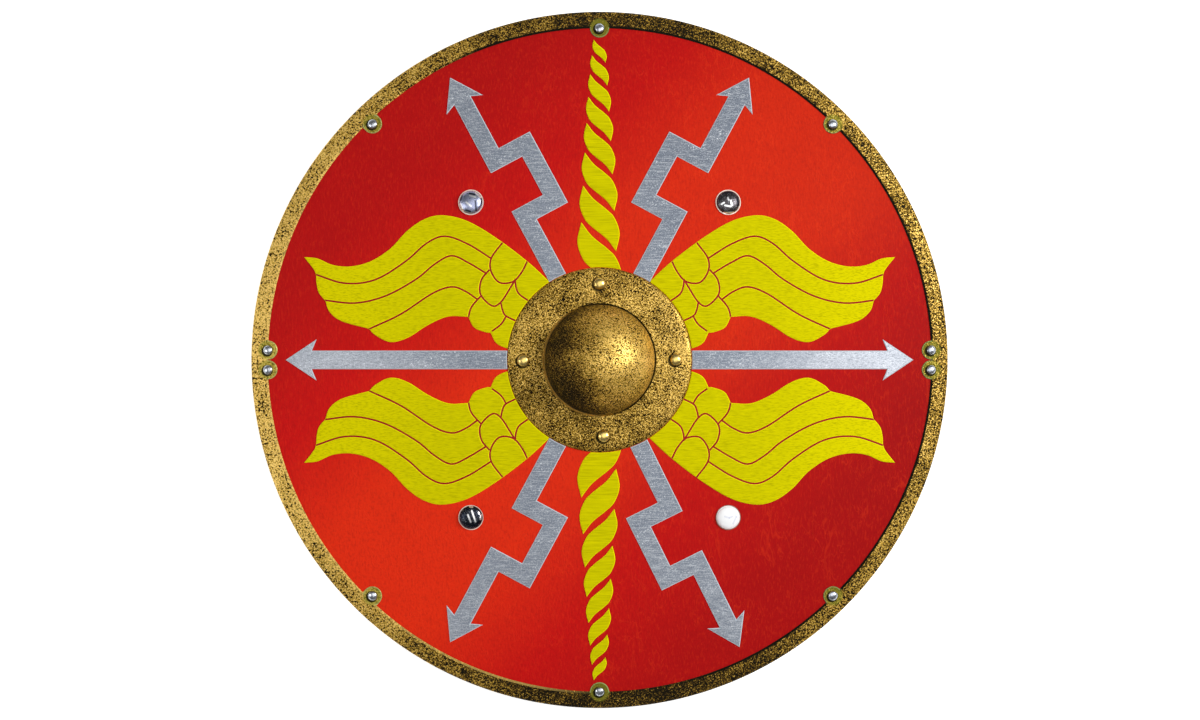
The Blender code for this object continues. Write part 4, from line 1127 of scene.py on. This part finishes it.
def set_rivets(name, kind, places, head_level, tail_level, finish, nodes, brim=0.0, seat=0.0):
    """Set one kind of rivet at its places, between two levels above the board's back."""
    bm = bmesh.new()
    for place in places:
        bm.verts.new((*place, back_level(place.length) + head_level))
    others = head_level - tail_level + TAIL_GAP, brim, seat, DISH_RADIUS
    inputs = dict(zip(RIVET_MEASURES + OTHER_MEASURES, (*kind, *others)))
    inputs |= {"Seed": RIVET_SEED, "Finish": finish.material}
    fit_piece(name, run_tree(name, bm, brimmed_rivets if brim else plain_rivets, inputs), nodes)


def polished_rivet(name, bright, dark, roughness):
    """Polished metal, tarnished in faint clouds."""
    metal = Finish(name, Metallic=1.0)
    cloud = metal.noise(0.004, 3.0)
    metal.feed(Base_Color=(cloud.step(0.45, 0.75) * 0.6).mix(bright, dark), Roughness=cloud * 0.2 + roughness)
    metal.relief(metal.noise(0.0012), 0.0001)
    return metal


strap_places = [Vector((x_sign * STRAP_X, y_sign * STRAP_Y)) for _, x_sign, y_sign, _ in BOLT_PLACES]
# The strap rivets' heads are lavender, grey, black and white steel, each with its own painted reflections and
# a pale brim
metal = Finish("marked_strap_rivet_steel", Roughness=0.28)
x, y, z = metal.split(metal.here())
right, top = x.step(-0.01, 0.01), y.step(-0.01, 0.01)
swirl = metal.noise(0.003, 3.0, distortion=3.0)
white = right * (1.0 - top)
upper = right.mix(LAVENDER, GREY)
colour = top.mix(right.mix(BLACK, WHITE), upper)
colour = (swirl.step(0.42, 0.34) * (1.0 - white) * 0.75).mix(colour, RIVET_STEEL_DARK)
colour = (swirl.step(0.58, 0.66) * (1.0 - white) * 0.45).mix(colour, RIVET_STEEL)
# Painted reflections: bright, dark and faint streaks across each head
for paint, strength, x_sign, y_sign, streaks in PAINTED_RIVET_REFLECTIONS:
    middle = Vector((x_sign * STRAP_X, y_sign * STRAP_Y))
    for streak in streaks:
        start, end = middle + Vector(streak[:2]) / 1000, middle + Vector(streak[2:]) / 1000
        colour = (stroke(metal, x, y, start, end, REFLECTION_STREAK_WIDTH) * strength).mix(colour, paint)
brim = nearest(metal, x, y, strap_places).step(STRAP_RIVET[0] * 0.96, STRAP_RIVET[0])
metal.feed(Base_Color=brim.mix(colour, white.mix(RIVET_BRIM_PALE, RIVET_BRIM_BROWN)),
           Metallic=0.9 - white * 0.9 - brim * 0.6)
metal.relief(swirl, 0.0002)

plain_rivets, brimmed_rivets = rivet_tree(False), rivet_tree(True)
set_rivets("rim_binding_rivets", RIM_RIVET, rim_places, RIM_TOP + FIT, 0.0,
           polished_rivet("bright_rim_rivet_steel", RIVET_STEEL, RIVET_STEEL_DARK, 0.18),
           [f"rim_rivet_{i + 1}" for i in range(len(rim_places))])
brass = polished_rivet("bright_rivet_brass", BRASS, BRASS_DARK, 0.2)
for group, sides, tail in (
        ("grip", ("top", "bottom"), -GRIP_SEAT[1] - FIT), ("side", ("left", "right"), 0.0)):
    set_rivets(f"boss_{group}_rivets", BOSS_RIVET, [boss_places[side] for side in sides], flange_level + FIT,
               tail, brass, [f"boss_rivet_{side}" for side in sides])
set_rivets("arm_strap_rivets", STRAP_RIVET, strap_places, FIELD_LEVEL + FIT, -STRAP_THICKNESS - 2 * FIT,
           metal, ["strap_rivet_" + place[0] for place in BOLT_PLACES],
           BRIM_WIDTH, BRIM_THICKNESS)


# Studio: a pale floor, a large soft light from the right, a weak one from the left, a soft box overhead,
# and a camera that looks straight down on the lying shield with a long lens.
FLOOR_HALF = 7.0
FLOOR_DROP = 0.0002
FLOOR_WHITE = (0.93, 0.93, 0.93)
FLOOR_GREY = (0.9, 0.9, 0.9)
LIGHTS = (
    ("key_light", (5.69, 1.74, 5.35), 450.0), ("fill_light", (-6.45, -1.14, 4.59), 132.0),
    ("overhead_light", (0.2, 0.1, 3.2), 40.0),
)
LIGHT_SIZE = 3.0
WORLD_STRENGTH = 0.15
CAMERA_DISTANCE = 8.0
FRAME_WIDTH = 1.3786
CAMERA_AIM = (0.0005, -0.0001, 0.012)
SENSOR_WIDTH = 36.0

floor_finish = Finish("pale_floor", Roughness=0.9, Specular_IOR_Level=0.1, Emission_Strength=0.75)
colour = (floor_finish.noise(0.5) * 0.1).mix(FLOOR_WHITE, FLOOR_GREY)
floor_finish.feed(Base_Color=colour, Emission_Color=colour)
bm = bmesh.new()
bmesh.ops.create_grid(bm, x_segments=4, y_segments=4, size=FLOOR_HALF)
bmesh.ops.translate(bm, verts=bm.verts, vec=(0.0, 0.0, -FLOOR_DROP))
mesh = bpy.data.meshes.new("studio_floor")
bm.to_mesh(mesh)
mesh.materials.append(floor_finish.material)
new_object("studio_floor", mesh)
for name, place, watts in LIGHTS:
    lamp = bpy.data.lights.new(name, "AREA")
    lamp.shape = "SQUARE"
    lamp.size = LIGHT_SIZE
    lamp.energy = watts
    item = new_object(name, lamp)
    item.location = place
    item.rotation_euler = (-Vector(place)).to_track_quat("-Z", "Y").to_euler()
    item.visible_camera = False
world = bpy.data.worlds.new("studio")
world.use_nodes = True
world.node_tree.nodes["Background"].inputs["Color"].default_value = (1.0, 1.0, 1.0, 1.0)
world.node_tree.nodes["Background"].inputs["Strength"].default_value = WORLD_STRENGTH
bpy.context.scene.world = world
bpy.context.scene.view_settings.view_transform = "Standard"
camera_data = bpy.data.cameras.new("camera")
camera_data.sensor_width = SENSOR_WIDTH
camera_data.lens = SENSOR_WIDTH * CAMERA_DISTANCE / FRAME_WIDTH
camera = new_object("camera", camera_data)
camera.location = Vector(CAMERA_AIM) + Vector((0.0, 0.0, CAMERA_DISTANCE))
bpy.context.scene.camera = camera
